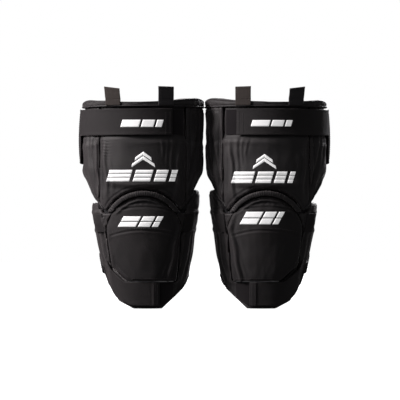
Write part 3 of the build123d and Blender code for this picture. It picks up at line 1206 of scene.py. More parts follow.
# ---- sub-assemblies ------------------------------------------------------------------------------
@dataclass(frozen=True)
class ThighGuard:
    """The padded upper part over the thigh, with its rim, lining and tongue."""

    body: str = "thigh_guard"
    rim_z: float = 311.0
    rim_arc: tuple = ((-100.0, 324.0), (0.0, 317.5), (100.0, 328.0))
    loop_x: Point = (4.0, 62.0)
    loop_z: Point = (267.0, 306.0)
    band_z: Point = (218.0, 308.0)
    edge_yz: tuple = ((-50, 150), (-36, 171), (-20, 196), (2, 212), (24, 232), (35, 255), (35, 309))

    def pads(self) -> list[Pad]:
        """The padded pieces."""
        front = Pad("thigh_panel", ("thigh_cover", "thigh_plate", "thigh_foam"), THIGH, SHELL, self.body,
                    thigh_panel_relief, voxel=2.8, levels=1, shrink=0.5, swell=3.2, fill=0.6,
                    replaced=("thigh_cover",), reach=1.0)
        sides = [Pad(f"thigh_side_{name}", (f"thigh_wing_{name}",), THIGH, SHELL, self.body,
                     thigh_wing_relief, voxel=2.8, levels=1, shrink=0.4, swell=3.0, fill=0.6, reach=-1.3)
                 for name in ("outer", "inner")]
        liner = Pad("thigh_liner", ("thigh_lining",), THIGH, LINER, self.body,
                    quilt_relief, voxel=1.3, fill=0.4)
        tongue = Pad("knee_tongue", ("thigh_tongue",), THIGH, LINER, self.body,
                     tongue_relief, voxel=1.6, fill=0.4)
        return [front, *sides, liner, tongue]

    def rim_height(self, turns: Array) -> Array:
        """How high the top edge is at each turn: an arc in front that rounds off at the sides.

        Args:
            turns: how far round the leg, from the front.

        Returns:
            The heights.
        """
        knots = np.array(self.rim_arc)
        arc = np.polyval(np.polyfit(knots[:, 0], knots[:, 1], 2), 93 * np.sin(turns))
        return arc - 7.0 * step(np.abs(turns), math.radians(56), math.radians(98))

    def rim(self, seed: int) -> Shape:
        """The padded top edge: a flattened roll that is drawn in by its seams.

        Args:
            seed: picks the lie of its puckers.

        Returns:
            The roll, closed at both ends.
        """
        turns = np.radians(np.linspace(-117.2, 117.2, 210))
        around = np.linspace(0, math.tau, 36, endpoint=False)
        t, a = np.meshgrid(turns, around, indexing="ij")
        u = t * THIGH.girth
        top = self.rim_height(t) + 0.7 * undulation(u, 0 * u, 38, seed)
        low = np.full_like(t, self.rim_z - 0.4)
        end = np.clip((np.abs(turns[0]) - np.abs(t)) * THIGH.girth / 7.0, 0, 1)
        closing = np.sqrt(np.clip(1 - (1 - end) ** 2, 0.02, 1))
        pucker = 0.32 * np.sin(u / 2.1 + seed) * bell(np.cos(a) - 0.75, 0.35)
        deep = 10.9 + 0.5 * undulation(u, 9 * a, 30, seed + 4) + pucker
        out = -9.2 + deep * boxed(np.cos(a)) * (0.25 + 0.75 * closing)
        seam = -0.9 * bell((a - 0.55) * 9, 1.2) - 0.7 * bell((a - math.pi / 2) * 9, 1.3)
        z = (top + low) / 2 + ((top - low) / 2 + seam) * boxed(np.sin(a)) * closing
        points = THIGH.place(t, z, out + seam * (np.cos(a) > 0))
        rows, columns = t.shape
        index = np.arange(rows * columns).reshape(rows, columns)
        following = np.roll(index, -1, axis=1)
        corners = [index[:-1], index[1:], following[1:], following[:-1]]
        faces = np.stack(corners, axis=-1).reshape(-1, 4).tolist()
        faces += [index[0].tolist(), index[-1, ::-1].tolist()]
        uv = np.stack([u, a * 9], axis=-1).reshape(-1, 2)
        return Shape(points.reshape(-1, 3), [tuple(f) for f in faces], uv)

    def piping(self, ground: Ground) -> dict[str, Shape]:
        """The rim's two rows of piping, the cords in the front seams and the side panels' edge piping.

        Args:
            ground: the finished pads.

        Returns:
            Each cord by name.
        """
        turns = np.radians(np.linspace(-115.5, 115.5, 170))
        top = THIGH.place(turns, self.rim_height(turns) - 1.5, 0.6)
        low = THIGH.place(turns, self.rim_z + 0.3 + 0 * turns, 1.5)
        pieces = {"rim_piping_upper": tube(top, 1.45), "rim_piping_lower": tube(low, 1.25)}
        for name, side in (("outer", -1), ("inner", 1)):
            line = [(THIGH.turn_at_y(y - 2.4, z + 2.4, side) * THIGH.girth, z + 2.4) for y, z in self.edge_yz]
            pieces[f"thigh_piping_{name}"] = tube(laid_line(ground, THIGH, line, 0.3), 1.5)
            heights = np.linspace(152.5, 308.5, 80)
            seam = [THIGH.turn_at_x(side * SEAM_X, z) for z in heights]
            cord = tube(THIGH.place(np.array(seam), heights, -0.9), 1.2)
            behind = [THIGH.turn_at_x(side * (SEAM_X + 1.3), z, -4.2) for z in heights]
            allowance = tube(THIGH.place(np.array(behind), heights, -4.2), 2.7)
            pieces[f"thigh_seam_cord_{name}"] = merge([cord, allowance])
        return pieces

    def tapes(self) -> dict[str, tuple[Shape, Cloth, tuple[str, ...]]]:
        """The loop patch and the wide elastic behind the thigh."""
        low, high = self.loop_z
        left, right = [THIGH.turn_at_x(x, 290) for x in self.loop_x]
        patch = Ribbon(THIGH, ((left, low), (right, low)), ((left, high), (right, high)), 0.3, 1.3, 2.5)
        a, b = self.band_z
        first = THIGH_BACK.turn_at_y(-4, 260, -1)
        last = THIGH_BACK.turn_at_y(36, 260, 1) - math.tau
        lower = ((last, a + 3), (-math.pi, a), (first, a + 6))
        upper = ((last, b), (-math.pi, b - 1), (first, b))
        band = Ribbon(THIGH_BACK, lower, upper, 0.0, 2.0, 3.0)

        def wave(along: Array, across: Array) -> Array:
            """Loose beside the outer wing, and a little uneven.

            Args:
                along: how far each point is along the band.
                across: how far it is across it.

            Returns:
                How far each point stands out.
            """
            from_end = (first - last) * THIGH_BACK.girth - along
            bulge = np.sin(math.pi * np.clip(across / (b - a), 0, 1)) ** 0.6
            loose = 4.4 * bell(from_end - 24, 15) * step(from_end, 2, 15) * bulge
            uneven = 0.9 * undulation(along, across, 60, 3, 3.0)
            return loose + uneven + 0.5 * np.sin(along / 9) * bell(across, 9)

        return {
            "thigh_loop": (patch.make(), LOOP, ("thigh_loop_patch",)),
            "thigh_back_elastic": (band.make(wave), BAND, ("thigh_back_strap",)),
        }


def laid_line(ground: Ground, form: Form, line: Sequence[Point], above: float) -> Array:
    """A smooth line that lies on the finished pads.

    Args:
        ground: the pads.
        form: the shell that the line is drawn on.
        line: its points, as (distance round the leg, z).
        above: how far over the surface it runs.

    Returns:
        The line's points.
    """
    points = []
    for u, z in even_line(np.array(line, float), 2.2):
        hit = ground.around(form, u / form.girth, z)
        if hit:
            points.append(hit[0] + above * hit[1])
    return smoothed(np.array(points), 3)


@dataclass(frozen=True)
class KneeGuard:
    """The padded knee cup, shin and calf sides, with the elastics behind the leg."""

    body: str = "knee_guard"
    loop_x: Point = (-18.0, 46.0)
    hem_yz: tuple = ((-20, 28), (32, 58), (34, 120), (18, 141))

    def pads(self) -> list[Pad]:
        """The padded pieces."""
        front = Pad("knee_panel", ("knee_cover", "knee_plate", "knee_foam"), KNEE, PANEL, self.body,
                    knee_panel_relief, voxel=2.8, levels=1, shrink=0.4, swell=3.0, fill=0.7,
                    replaced=("knee_cover",))
        roll = Pad("knee_top_roll", ("knee_roll",), KNEE, SHELL, self.body, roll_relief,
                   voxel=1.8, levels=1, shrink=0.1, swell=1.6, fill=0.9)
        sides = [Pad(f"calf_side_{name}", (f"calf_wing_{name}",), KNEE, SHELL, self.body, calf_wing_relief,
                     voxel=2.3, levels=1, shrink=0.2, swell=2.2, fill=0.5)
                 for name in ("outer", "inner")]
        liner = Pad("knee_liner", ("knee_lining",), KNEE, LINER, self.body, quilt_relief, voxel=1.6, fill=0.4)
        return [front, roll, *sides, liner]

    def tapes(self) -> dict[str, tuple[Shape, Cloth, tuple[str, ...]]]:
        """The loop patch, the two elastics behind the leg and the knee strap's sewn ends."""
        left, right = [KNEE.turn_at_x(x, 22, 10) for x in self.loop_x]
        lower = ((left, 6), (KNEE.turn_at_x(30, 6, 10), 5), (right, 17))
        patch = Ribbon(KNEE, lower, ((left, 39), (right, 39)), 10.2, 1.4, 2.5)
        pieces = {"calf_loop": (patch.make(), LOOP, ("calf_loop_patch",))}
        last = CALF_BACK.turn_at_y(43, 66, 1) - math.tau
        first = CALF_BACK.turn_at_y(-6, 66, -1)
        calf = Ribbon(CALF_BACK, ((last, 46), (-math.pi, 44), (-2.2, 47), (first, 57)),
                      ((last, 86), (-math.pi, 88), (-2.2, 87), (first, 82)), 0.0, 2.0, 3.0)

        def wave(along: Array, across: Array) -> Array:
            """A little uneven."""
            return 0.8 * undulation(along, across, 45, 8, 3.0)

        def hugging(along: Array, across: Array) -> Array:
            """Uneven, and pressed to the outer wing at its end."""
            from_end = (first - last) * CALF_BACK.girth - along
            return wave(along, across) - 1.8 * (1 - step(from_end, 3, 22))

        pieces["calf_back_elastic"] = (calf.make(hugging), BAND, ("calf_back_strap",))
        low = KNEE_BACK.turn_at_y(42, 120, 1) - math.tau
        high = KNEE_BACK.turn_at_y(42, 120, -1)
        knee = Ribbon(KNEE_BACK, ((low, 106), (high, 106)), ((low, 134), (high, 134)), 0.0, 2.0, 3.0)
        pieces["knee_back_elastic"] = (knee.make(wave), BAND, ("knee_strap",))
        for name, side, height in (("outer", -1, 4.6), ("inner", 1, 1.2)):
            near = KNEE.turn_at_x(ARCH_X + side * 61, 131, 10)
            far = KNEE.turn_at_y(-17, 131, side, 10)
            a, b = sorted((near, far))
            end = Ribbon(KNEE, ((a, 117), (b, 117)), ((a, 146), (b, 146)), 10.3, 2.0, 1.6)
            length = (b - a) * KNEE.girth

            def curl(along: Array, across: Array, top: float = height, long: float = length) -> Array:
                """Stands off in the middle, more on the outer side."""
                arc = np.sin(math.pi * np.clip(along / long, 0, 1)) ** 2
                return top * arc * (0.75 + 0.25 * np.sin(across / 8))

            pieces[f"knee_strap_end_piece_{name}"] = (end.make(curl), BAND, (f"knee_strap_end_{name}",))
        return pieces

    def piping(self, ground: Ground) -> dict[str, Shape]:
        """The piping round the free edges of the calf sides.

        Args:
            ground: the finished pads.

        Returns:
            Each cord by name.
        """
        def at(x: float, z: float) -> Point:
            """A place on the front, from its x."""
            return KNEE.turn_at_x(x, z, 9) * KNEE.girth, z

        def aside(y: float, z: float, side: int) -> Point:
            """A place on one side, from its y."""
            return KNEE.turn_at_y(y, z, side, 9) * KNEE.girth, z

        outer = [at(-12, 2.6), at(-35.5, 13.5), at(-50.5, 36.5), at(-58.5, 69), aside(-6, 72, -1),
                 aside(37, 72.5, -1), aside(37, 123, -1), aside(20, 144, -1)]
        inner = [at(-12, 2.6), at(29, 2.6), at(59.5, 31), aside(-8, 50, 1), aside(30, 51, 1),
                 aside(37, 56, 1), aside(37, 123, 1), aside(20, 144, 1)]
        pieces = {}
        for name, line in (("outer", outer), ("inner", inner)):
            pieces[f"calf_piping_{name}"] = tube(laid_line(ground, KNEE, line, 0.2), 1.3)
        return pieces


@dataclass(frozen=True)
class ThighStrap:
    """The wide elastic that closes over the front of the thigh."""

    body: str = "thigh_strap"
    z: Point = (266.0, 307.0)
    end_x: float = 46.0
    hook_x: Point = (8.0, 43.0)

    def tapes(self) -> dict[str, tuple[Shape, Cloth, tuple[str, ...]]]:
        """The strap with its folded end, and the hook tape under it."""
        low, high = self.z
        first, last = THIGH.turn_at_y(-6, 290, -1, 3), THIGH.turn_at_x(self.end_x, 290, 3)
        length = (last - first) * THIGH.girth
        lower = ((first, low + 1), (-0.6, low), (last, low + 0.5))
        upper = ((first, high), (-0.6, high - 0.6), (last, high))
        strap = Ribbon(THIGH, lower, upper, 2.9, 2.0, 1.8)

        def hem(along: Array, across: Array) -> Array:
            """Folded back and sewn down at its end, and a little slack.

            Args:
                along: how far each point is along the band.
                across: how far it is across it.

            Returns:
                How far each point stands out.
            """
            near_end = length * 1.09 - along
            fold_back = 1.5 * (1 - step(near_end, 11.5, 13.5))
            rows = -0.5 * bell(near_end - 3, 0.8) - 0.5 * bell(near_end - 9.5, 0.8)
            sag = 0.5 * undulation(along, across, 55, 21, 2.0)
            borders = 0.5 * bell(across, 4) + 0.4 * bell(across - 41, 4)
            return fold_back + rows + sag + borders

        a, b = [THIGH.turn_at_x(x, 290, 2) for x in self.hook_x]
        hook = Ribbon(THIGH, ((a, low + 2), (b, low + 2)), ((a, high - 2), (b, high - 2)), 1.75, 1.0, 2.5)
        return {
            "thigh_front_strap": (strap.make(hem), BAND, ("thigh_strap",)),
            "thigh_hook_tape": (hook.make(), HOOKS, ("thigh_strap_hook",)),
        }


@dataclass(frozen=True)
class CalfStrap:
    """The elastic that closes over the bottom of the shin."""

    body: str = "calf_strap"
    end_x: float = 26.0
    hook_x: Point = (-14.0, 23.0)

    def tapes(self) -> dict[str, tuple[Shape, Cloth, tuple[str, ...]]]:
        """The strap, which climbs round the outer side of the shin, and the hook tape under it."""
        def at(x: float, z: float) -> Point:
            """A place on the shin, from its x."""
            return KNEE.turn_at_x(x, z, 14), z

        start = math.radians(-80)
        lower = ((start, 54), (math.radians(-66), 42), at(-40, 17), at(-16, 5), at(self.end_x, 4.5))
        upper = ((start, 84), at(-58, 74), at(-49, 60), at(-27, 41.5), at(self.end_x, 41))
        strap = Ribbon(KNEE, lower, upper, 12.9, 2.0, 1.6)
        length = strap.length()

        def hem(along: Array, across: Array) -> Array:
            """Folded back and sewn down at its end, and pressed to the wing where it starts.

            Args:
                along: how far each point is along the band.
                across: how far it is across it.

            Returns:
                How far each point stands out.
            """
            near_end = length - along
            fold_back = 1.5 * (1 - step(near_end, 10.5, 12.5))
            rows = -0.5 * bell(near_end - 3, 0.8) - 0.5 * bell(near_end - 8.5, 0.8)
            hug = -3.6 * (1 - step(along, 14, 46))
            sag = 0.5 * undulation(along, across, 40, 31, 2.0) + 0.4 * bell(across, 4)
            return fold_back + rows + hug + sag

        a, b = [KNEE.turn_at_x(x, 22, 12) for x in self.hook_x]
        hook = Ribbon(KNEE, ((a, 7), (b, 7)), ((a, 38), (b, 38)), 11.75, 1.0, 2.5)
        return {
            "calf_front_strap": (strap.make(hem), BAND, ("calf_strap",)),
            "calf_hook_tape": (hook.make(), HOOKS, ("calf_strap_hook",)),
        }


@dataclass(frozen=True)
class PantTabs:
    """The two webbing tabs that fasten to the pants."""

    places: dict = field(default_factory=lambda: {"outer": -44.0, "inner": 36.0})
    width: float = 25.0
    thick: float = 2.0
    fold_z: float = 322.0
    top_z: float = 341.0
    base_z: Point = (312.0, 321.1)
    lean: dict = field(default_factory=lambda: {"outer": -0.10, "inner": 0.0})
    slant: dict = field(default_factory=lambda: {"outer": 3.2, "inner": 0.4})

    def plate(self, place: float, low: float, high: float, looped: bool = False, lean: float = 0.0,
              slant: float = 0.0) -> Shape:
        """One stretch of webbing, flat and turned to lie along the rim.

        Args:
            place: its middle's x.
            low: its lower end.
            high: its upper end.
            looped: whether the upper end is folded over.
            lean: how far it leans sideways for its height.
            slant: how much lower the upper end is on one side.

        Returns:
            The webbing.
        """
        rim_y = -77.0 * math.sqrt(1 - (place / 94.0) ** 2)
        turn = math.radians(20 if place > 0 else -20)
        s, t = crowded(self.width, 1.2), crowded(high - low, 1.2)
        across, share = np.meshgrid((s - 0.5) * self.width, t)
        top = high - slant * (across / self.width + 0.5)
        up = low + share * (top - low)
        edge = np.minimum(self.width / 2 - np.abs(across), np.minimum(up - low, top - up))
        half = self.thick / 2
        thick = rounded_edge(edge, half, 0.05)
        if looped:
            thick = thick + 0.5 * bell(up - top + 2.2, 1.8)
        depth = -(half + 1.2) - 0.35 * np.sin((up - low) / (high - low) * math.pi) * (1 if looped else 0)
        cup = 0.5 * (across / self.width * 2) ** 2
        sideways, back = across + lean * (up - low) * step(up, low, low + 5), depth + cup * 0.5
        middle = np.stack([place + sideways * math.cos(turn) - back * math.sin(turn),
                           rim_y + sideways * math.sin(turn) + back * math.cos(turn), up], axis=-1)
        return slab(middle, thick, thick, np.stack([across, up], axis=-1))

    def make(self) -> dict[str, tuple[Shape, str, tuple[str, ...]]]:
        """The tabs, and the ends by which they are sewn to the rim."""
        pieces = {}
        for name, place in self.places.items():
            pieces[f"webbing_tab_{name}"] = (
                self.plate(place, self.fold_z - 1.2, self.top_z, True, self.lean[name], self.slant[name]),
                f"pant_tab_{name}", (f"pant_tab_{name}",))
            end = self.plate(place, *self.base_z)
            pieces[f"webbing_end_{name}"] = (end, "thigh_guard", ("pant_tab_bases",))
        return pieces


# ---- marks and stitches --------------------------------------------------------------------------
def stitch_model() -> Shape:
    """One stitch of thread, lying along x with its back at z 0, in millimetres."""
    bpy.ops.object.select_all(action="DESELECT")
    bpy.ops.mesh.primitive_uv_sphere_add(segments=6, ring_count=4, radius=0.5)
    piece = bpy.context.active_object
    bpy.ops.object.mode_set(mode="EDIT")
    bpy.ops.mesh.select_all(action="SELECT")
    bpy.ops.transform.resize(value=(2.7, 0.85, 0.75))
    bpy.ops.object.mode_set(mode="OBJECT")
    points = np.array([v.co for v in piece.data.vertices], float)
    faces = [tuple(p.vertices) for p in piece.data.polygons]
    mesh = piece.data
    bpy.data.objects.remove(piece)
    bpy.data.meshes.remove(mesh)
    return Shape(points, faces)


def stitched(line: Array, normals: Array, model: Shape, pitch: float = 3.4) -> Shape | None:
    """A row of stitches along a line that lies on a surface.

    Args:
        line: points on the surface, in order.
        normals: the surface's normal at each.
        model: one stitch.
        pitch: from the start of one stitch to the next.

    Returns:
        All the stitches as one shape, or None if the line is too short.
    """
    along = distances(line)
    count = int(along[-1] // pitch)
    if count < 2:
        return None
    marks = (np.arange(count) + 0.5) * pitch
    centre = sampled(marks, along, line)
    ahead = unit(sampled(marks + 0.5, along, line) - sampled(marks - 0.5, along, line))
    up = sampled(marks, along, normals)
    up = unit(up - (up * ahead).sum(axis=1, keepdims=True) * ahead)
    side = np.cross(up, ahead)
    shapes = []
    for c, a, s, n in zip(centre, ahead, side, up):
        points = c + model.points[:, :1] * a + model.points[:, 1:2] * s + (model.points[:, 2:] + 0.12) * n
        shapes.append(Shape(points, model.faces, model.points[:, :2].copy()))
    return merge(shapes)


def row_on(hits: Sequence[tuple[Array, Array] | None], model: Shape) -> Shape | None:
    """Stitches through the places that a path hits, or None if it hits too few.

    Args:
        hits: points and normals on a surface.
        model: one stitch.

    Returns:
        The stitches as one shape.
    """
    found = [hit for hit in hits if hit is not None]
    if len(found) < 4:
        return None
    return stitched(np.array([hit[0] for hit in found]), np.array([hit[1] for hit in found]), model)


def front_row(ground: Ground, path: Sequence[Point], model: Shape) -> Shape | None:
    """Stitches along a path that is drawn in front view."""
    return row_on([ground.front(x, z) for x, z in even_line(np.array(path, float), 2.0)], model)


def around_row(ground: Ground, form: Form, path: Sequence[Point], model: Shape) -> Shape | None:
    """Stitches along a path of (turn in radians, z)."""
    line = even_line(np.array(path, float) * (form.girth, 1), 2.0)
    return row_on([ground.around(form, u / form.girth, z) for u, z in line], model)


@dataclass(frozen=True)
class PrintedMark:
    """Plain slanted bars or nested chevrons, printed in white on one surface."""

    name: str
    x: Point
    z: Point
    bars: tuple[float, ...] = ()
    slant: float = 0.3
    chevrons: int = 0
    rows: int = 1

    def outlines(self) -> list[list[Point]]:
        """The printed figures as outlines in front view, each with four corners."""
        return self._chevrons() if self.chevrons else self._bars()

    def _chevrons(self) -> list[list[Point]]:
        """Nested chevrons, in two halves each."""
        left, right = self.x
        low, high = self.z
        middle, thick = (left + right) / 2, (high - low) / (2.7 * self.chevrons)
        figures = []
        for k in range(self.chevrons):
            half = (right - left) / 2 * (1 - 0.28 * k)
            foot, rise = low + k * thick * 1.85, half * 0.66
            inset = half - thick * 0.2
            point, tip = (middle, foot + rise), (middle, foot + rise + thick)
            figures.append([(middle - half, foot), (middle - inset, foot + thick), tip, point])
            figures.append([point, tip, (middle + inset, foot + thick), (middle + half, foot)])
        return figures

    def _bars(self) -> list[list[Point]]:
        """Slanted bars, cut into rows."""
        left, right = self.x
        low, high = self.z
        height = high - low
        lean, tier = self.slant * height, height / self.rows
        slit = 0.07 * tier
        gap = 0.05 * (right - left)
        room = right - left - lean - gap * (len(self.bars) - 1)
        start, figures = left, []
        for share in self.bars:
            wide = room * share / sum(self.bars)
            for row in range(self.rows):
                foot = tier * row + slit * (row > 0)
                top = tier * (row + 1) - slit * (row + 1 < self.rows)
                a, b = [start + self.slant * rise for rise in (foot, top)]
                foot, top = low + foot, low + top
                figures.append([(a, foot), (a + wide, foot), (b + wide, top), (b, top)])
            start += wide + gap
        return figures

    def lay(self, ground: Ground, flip: bool) -> Shape:
        """Lays the figures on the surfaces of a guard.

        Args:
            ground: what they are printed on.
            flip: for the left guard, whose pieces are mirrored afterwards.

        Returns:
            Thin closed plates just above the surface.
        """
        plates = []
        for corners in self.outlines():
            a, b, c, d = [np.array(p) for p in corners]
            columns = max(3, int(max(np.linalg.norm(b - a), np.linalg.norm(c - d)) / 1.5))
            rows = max(3, int(max(np.linalg.norm(d - a), np.linalg.norm(c - b)) / 1.5))
            s, t = np.meshgrid(np.linspace(0, 1, columns), np.linspace(0, 1, rows))
            s, t = s[..., None], t[..., None]
            flat = (a * (1 - s) + b * s) * (1 - t) + (d * (1 - s) + c * s) * t
            if flip:
                flat = flat[:, ::-1]
            x = -flat[..., 0] if flip else flat[..., 0]
            points = np.zeros((*x.shape, 3))
            for index in np.ndindex(x.shape):
                hit = ground.front(x[index], flat[index][1])
                points[index] = hit[0] if hit else (x[index], 0, flat[index][1])
            above, below = np.full(x.shape, 0.35), np.full(x.shape, 0.25)
            plates.append(slab(points, above, below, np.stack([x, flat[..., 1]], axis=-1)))
        return merge(plates)


MARKS = {
    Leg.RIGHT: (
        PrintedMark("thigh_strap", (-33, 33), (278.5, 289.5), (3, 2, 1)),
        PrintedMark("thigh_emblem", (-16, 20), (217, 246), chevrons=2),
        PrintedMark("thigh_panel", (-55, 55), (195.5, 213), (4, 3, 2, 1), rows=3),
        PrintedMark("knee_panel", (-37, 33), (126, 142), (3, 2, 1), 0.55, rows=2),
    ),
    Leg.LEFT: (
        PrintedMark("thigh_strap", (-25, 39), (279.5, 289), (3, 2, 1)),
        PrintedMark("thigh_emblem", (-22, 14), (214, 242), chevrons=2),
        PrintedMark("thigh_panel", (-55, 44), (193, 210.5), (4, 3, 2, 1), rows=3),
        PrintedMark("knee_panel", (-42, 27), (130, 149), (3, 2, 1), 0.55, rows=2),
    ),
}


class Guard:
    """One leg's guard, put together from its sub-assemblies."""

    def __init__(self, leg: Leg, shop: PadShop, swollen: dict[str, Shape], materials: dict) -> None:
        """Takes the swollen pads that both guards share.

        Args:
            leg: whose guard it is.
            shop: where the pads were swollen.
            swollen: the pads by name.
            materials: the materials by name.
        """
        self.leg = leg
        self.seed = 11 if leg is Leg.RIGHT else 37
        self.bench = Bench(leg, materials)
        self.shop = shop
        self.swollen = swollen
        self.thigh, self.knee = ThighGuard(), KneeGuard()

    def build(self, model: Shape) -> None:
        """Makes every piece.

        Args:
            model: one stitch.
        """
        made: dict[str, Shape] = {}
        for part in (self.thigh, self.knee):
            for pad in part.pads():
                shape = sculpt(self.swollen[pad.name], pad, self.seed)
                made[pad.name] = shape
                nodes = pad.replaced or pad.nodes
                self.bench.add(pad.name, shape, pad.finish, pad.body, nodes, pad.fill, pad.form)
            ground = Ground([made[pad.name] for pad in part.pads() if "liner" not in pad.name])
            for name, shape in part.piping(ground).items():
                self.bench.add(name, shape, BINDING, part.body)
        made["thigh_top_roll"] = self.thigh.rim(self.seed)
        self.bench.add("thigh_top_roll", made["thigh_top_roll"], SHELL, "thigh_guard", ("thigh_rim",), 0.85)
        for part in (self.thigh, self.knee, ThighStrap(), CalfStrap()):
            for name, (shape, finish, nodes) in part.tapes().items():
                made[name] = shape
                self.bench.add(name, shape, finish, part.body, nodes)
        self._tabs()
        self._cores()
        self._marks(made)
        self._stitches(made, model)

    def _tabs(self) -> None:
        """The webbing tabs: in each pair one is warmer than the other."""
        warm = "outer" if self.leg is Leg.RIGHT else "inner"
        for name, (shape, body, nodes) in PantTabs().make().items():
            finish = WARM_TAB if name.endswith(warm) else GREY_TAB
            self.bench.add(name, shape, finish, body, nodes)

    def _cores(self) -> None:
        """The foam and plastic inside the front panels, a little smaller than the cloth round them."""
        guards = (("thigh", THIGH, 307.0, -12.0, 0.4), ("knee", KNEE, 163.0, 4.0, 0.6))
        for part, form, top, base, raised in guards:
            for kind, name, finish in (("foam", "foam_core", FOAM), ("plate", "plastic_sheet", SHEET)):
                piece = self.shop.copy((f"{part}_{kind}",))
                shape = self.shop.shape(piece)
                bpy.data.objects.remove(piece)
                turn, out = form.unroll(shape.points)
                z = shape.points[:, 2]
                z = top - (z.max() - z) * 0.93
                shape.points = form.place(turn * 0.92, z, base + raised + (out - base) * 0.7)
                nodes = (f"{part}_{kind}",)
                self.bench.add(f"{part}_{name}", shape, finish, f"{part}_guard", nodes, form=form)

    def _marks(self, made: dict[str, Shape]) -> None:
        """The printed marks.

        Args:
            made: the finished shapes by name.
        """
        flip = self.leg is Leg.LEFT
        thigh = (Ground([made["thigh_panel"]]), "thigh_guard")
        grounds = {
            "thigh_strap": (Ground([made["thigh_front_strap"]]), "thigh_strap"),
            "thigh_emblem": thigh,
            "thigh_panel": thigh,
            "knee_panel": (Ground([made["knee_panel"]]), "knee_guard"),
        }
        for mark in MARKS[self.leg]:
            ground, body = grounds[mark.name]
            self.bench.add(f"print_on_{mark.name}", mark.lay(ground, flip), INK, body)

    def _stitches(self, made: dict[str, Shape], model: Shape) -> None:
        """The rows of thread on each sub-assembly.

        Args:
            made: the finished shapes by name.
            model: one stitch.
        """
        thigh = Ground([made[n] for n in ("thigh_panel", "thigh_side_outer", "thigh_side_inner")])
        knee = Ground([made[n] for n in ("knee_panel", "calf_side_outer", "calf_side_inner")])
        roll = Ground([made["knee_top_roll"], made["knee_panel"]])
        strap, calf = Ground([made["thigh_front_strap"]]), Ground([made["calf_front_strap"]])
        rows: dict[str, list] = {"thigh_guard": [], "knee_guard": [], "thigh_strap": [], "calf_strap": []}
        for x in (-70.5, 70.5, -61, 61):
            rows["thigh_guard"].append(front_row(thigh, [(x, 168), (x, 230), (x, 262)], model))
        for side in (-1, 1):
            path = [(THIGH.turn_at_y(y - 7, z + 4, side), z + 4) for y, z in self.thigh.edge_yz]
            rows["thigh_guard"].append(around_row(thigh, THIGH, path, model))
            path = [(KNEE.turn_at_y(y, z, side, 8), z) for y, z in self.knee.hem_yz]
            rows["knee_guard"].append(around_row(knee, KNEE, path, model))
        radius = 52.6
        ring = [(ARCH_X + radius * math.cos(t), ARCH_Z + radius * math.sin(t))
                for t in np.radians(np.linspace(142, 38, 24))]
        rows["knee_guard"].append(front_row(roll, ring, model))
        arch = ((-46, 119), (-20, 123), (24, 123), (50, 119))
        for path in (arch, ((-16, 46.5), (48, 46.5)), ((-47, 74), (-20, 47))):
            rows["knee_guard"].append(front_row(knee, path, model))
        for x in (43, 36.5):
            rows["thigh_strap"].append(front_row(strap, [(x, 268), (x, 305)], model))
        for x in (23.2, 17.8):
            rows["calf_strap"].append(front_row(calf, [(x, 7), (x, 39)], model))
        wide, calf_band = Ground([made["thigh_back_elastic"]]), Ground([made["calf_back_elastic"]])
        for y in (0, 9):
            turn = THIGH_BACK.turn_at_y(y, 260, -1)
            rows["thigh_guard"].append(around_row(wide, THIGH_BACK, [(turn, 224), (turn, 303)], model))
            turn = CALF_BACK.turn_at_y(y - 1.5, 66, -1)
            rows["knee_guard"].append(around_row(calf_band, CALF_BACK, [(turn, 60), (turn, 81)], model))
        for body, found in rows.items():
            self.bench.add(f"stitching_on_{body}", merge([row for row in found if row]), THREAD, body)


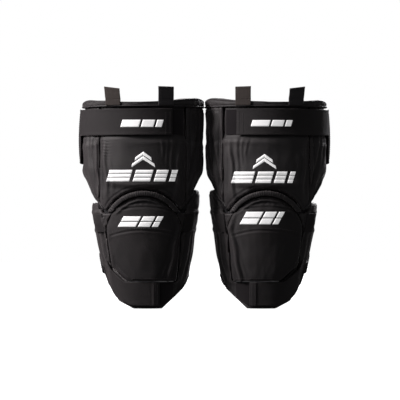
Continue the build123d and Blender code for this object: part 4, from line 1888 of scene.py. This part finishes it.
# ---- studio --------------------------------------------------------------------------------------
@dataclass(frozen=True)
class Studio:
    """The camera, the lights and the floor."""

    distance: float = 3.55
    lens: float = 204.8
    middle: Point = (-0.007, 0.167)

    def build(self) -> None:
        """Sets everything up."""
        self._camera()
        self._lights()
        self._floor()

    def _camera(self) -> None:
        """A long lens, level, from the front."""
        data = bpy.data.cameras.new("camera")
        data.lens, data.sensor_width = self.lens, 36.0
        data.clip_end = 30.0
        camera = bpy.data.objects.new("camera", data)
        camera.location = (self.middle[0], -self.distance, self.middle[1])
        camera.rotation_euler = (math.radians(90), 0, 0)
        bpy.context.scene.collection.objects.link(camera)
        bpy.context.scene.camera = camera

    def _light(self, name: str, place: tuple, aim: tuple, size: float, power: float, colour: tuple) -> None:
        """One softbox, turned towards a point.

        Args:
            name: its name.
            place: where it is.
            aim: what it points at.
            size: how wide it is.
            power: its watts.
            colour: its colour.
        """
        data = bpy.data.lights.new(name, "AREA")
        data.size, data.energy, data.color = size, power, colour
        lamp = bpy.data.objects.new(name, data)
        lamp.location = place
        lamp.rotation_euler = (Vector(aim) - Vector(place)).to_track_quat("-Z", "Y").to_euler()
        bpy.context.scene.collection.objects.link(lamp)

    def _lights(self) -> None:
        """A softbox at the upper left, a weak fill, one behind, and a room that is seen but lights little."""
        self._light("key", (-1.36, -0.48, 0.98), (-0.05, 0, 0.18), 0.45, 39, (1.0, 0.945, 0.94))
        self._light("front", (-0.9, -2.5, 1.5), (0, 0, 0.2), 0.8, 5, (0.97, 0.96, 1.0))
        self._light("back", (0.9, 1.9, 1.3), (0, 0, 0.17), 1.0, 62, (0.97, 0.97, 1.0))
        scene = bpy.context.scene
        scene.view_settings.view_transform = "Standard"
        world = bpy.data.worlds.new("white_room")
        world.use_nodes = True
        nodes, links = world.node_tree.nodes, world.node_tree.links
        back = nodes["Background"]
        back.inputs["Color"].default_value = (1, 1, 1, 1)
        path = nodes.new("ShaderNodeLightPath")
        mix = nodes.new("ShaderNodeMapRange")
        mix.inputs["To Min"].default_value, mix.inputs["To Max"].default_value = 0.10, 1.0
        links.new(path.outputs["Is Camera Ray"], mix.inputs["Value"])
        links.new(mix.outputs["Result"], back.inputs["Strength"])
        scene.world = world

    def _floor(self) -> None:
        """A pale floor that is nearly as bright as the room."""
        bpy.ops.object.select_all(action="DESELECT")
        bpy.ops.mesh.primitive_circle_add(vertices=96, radius=2.6, fill_type="NGON", location=(0, 0, -0.0006))
        floor = bpy.context.active_object
        floor.name = "floor"
        material = bpy.data.materials.new("pale_floor")
        material.use_nodes = True
        surface = material.node_tree.nodes["Principled BSDF"]
        surface.inputs["Base Color"].default_value = (0.45, 0.45, 0.45, 1)
        surface.inputs["Roughness"].default_value = 0.9
        surface.inputs["Emission Color"].default_value = (1, 1, 1, 1)
        surface.inputs["Emission Strength"].default_value = 0.9
        floor.data.materials.append(material)
        floor.visible_diffuse = floor.visible_glossy = False


def main() -> None:
    """Builds the pair of guards and the studio."""
    logging.basicConfig(level=logging.INFO, format="%(name)s %(message)s")
    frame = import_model()
    Studio().build()
    finishes = (SHELL, PANEL, LINER, BAND, LOOP, HOOKS, WARM_TAB, GREY_TAB, BINDING, THREAD, FOAM, SHEET, INK)
    materials = {finish.name: finish.build() for finish in finishes}
    shop = PadShop(frame)
    swollen = shop.swell([*ThighGuard().pads(), *KneeGuard().pads()])
    model = stitch_model()
    for leg in Leg:
        Guard(leg, shop, swollen, materials).build(model)


if __name__ == "__main__":
    main()
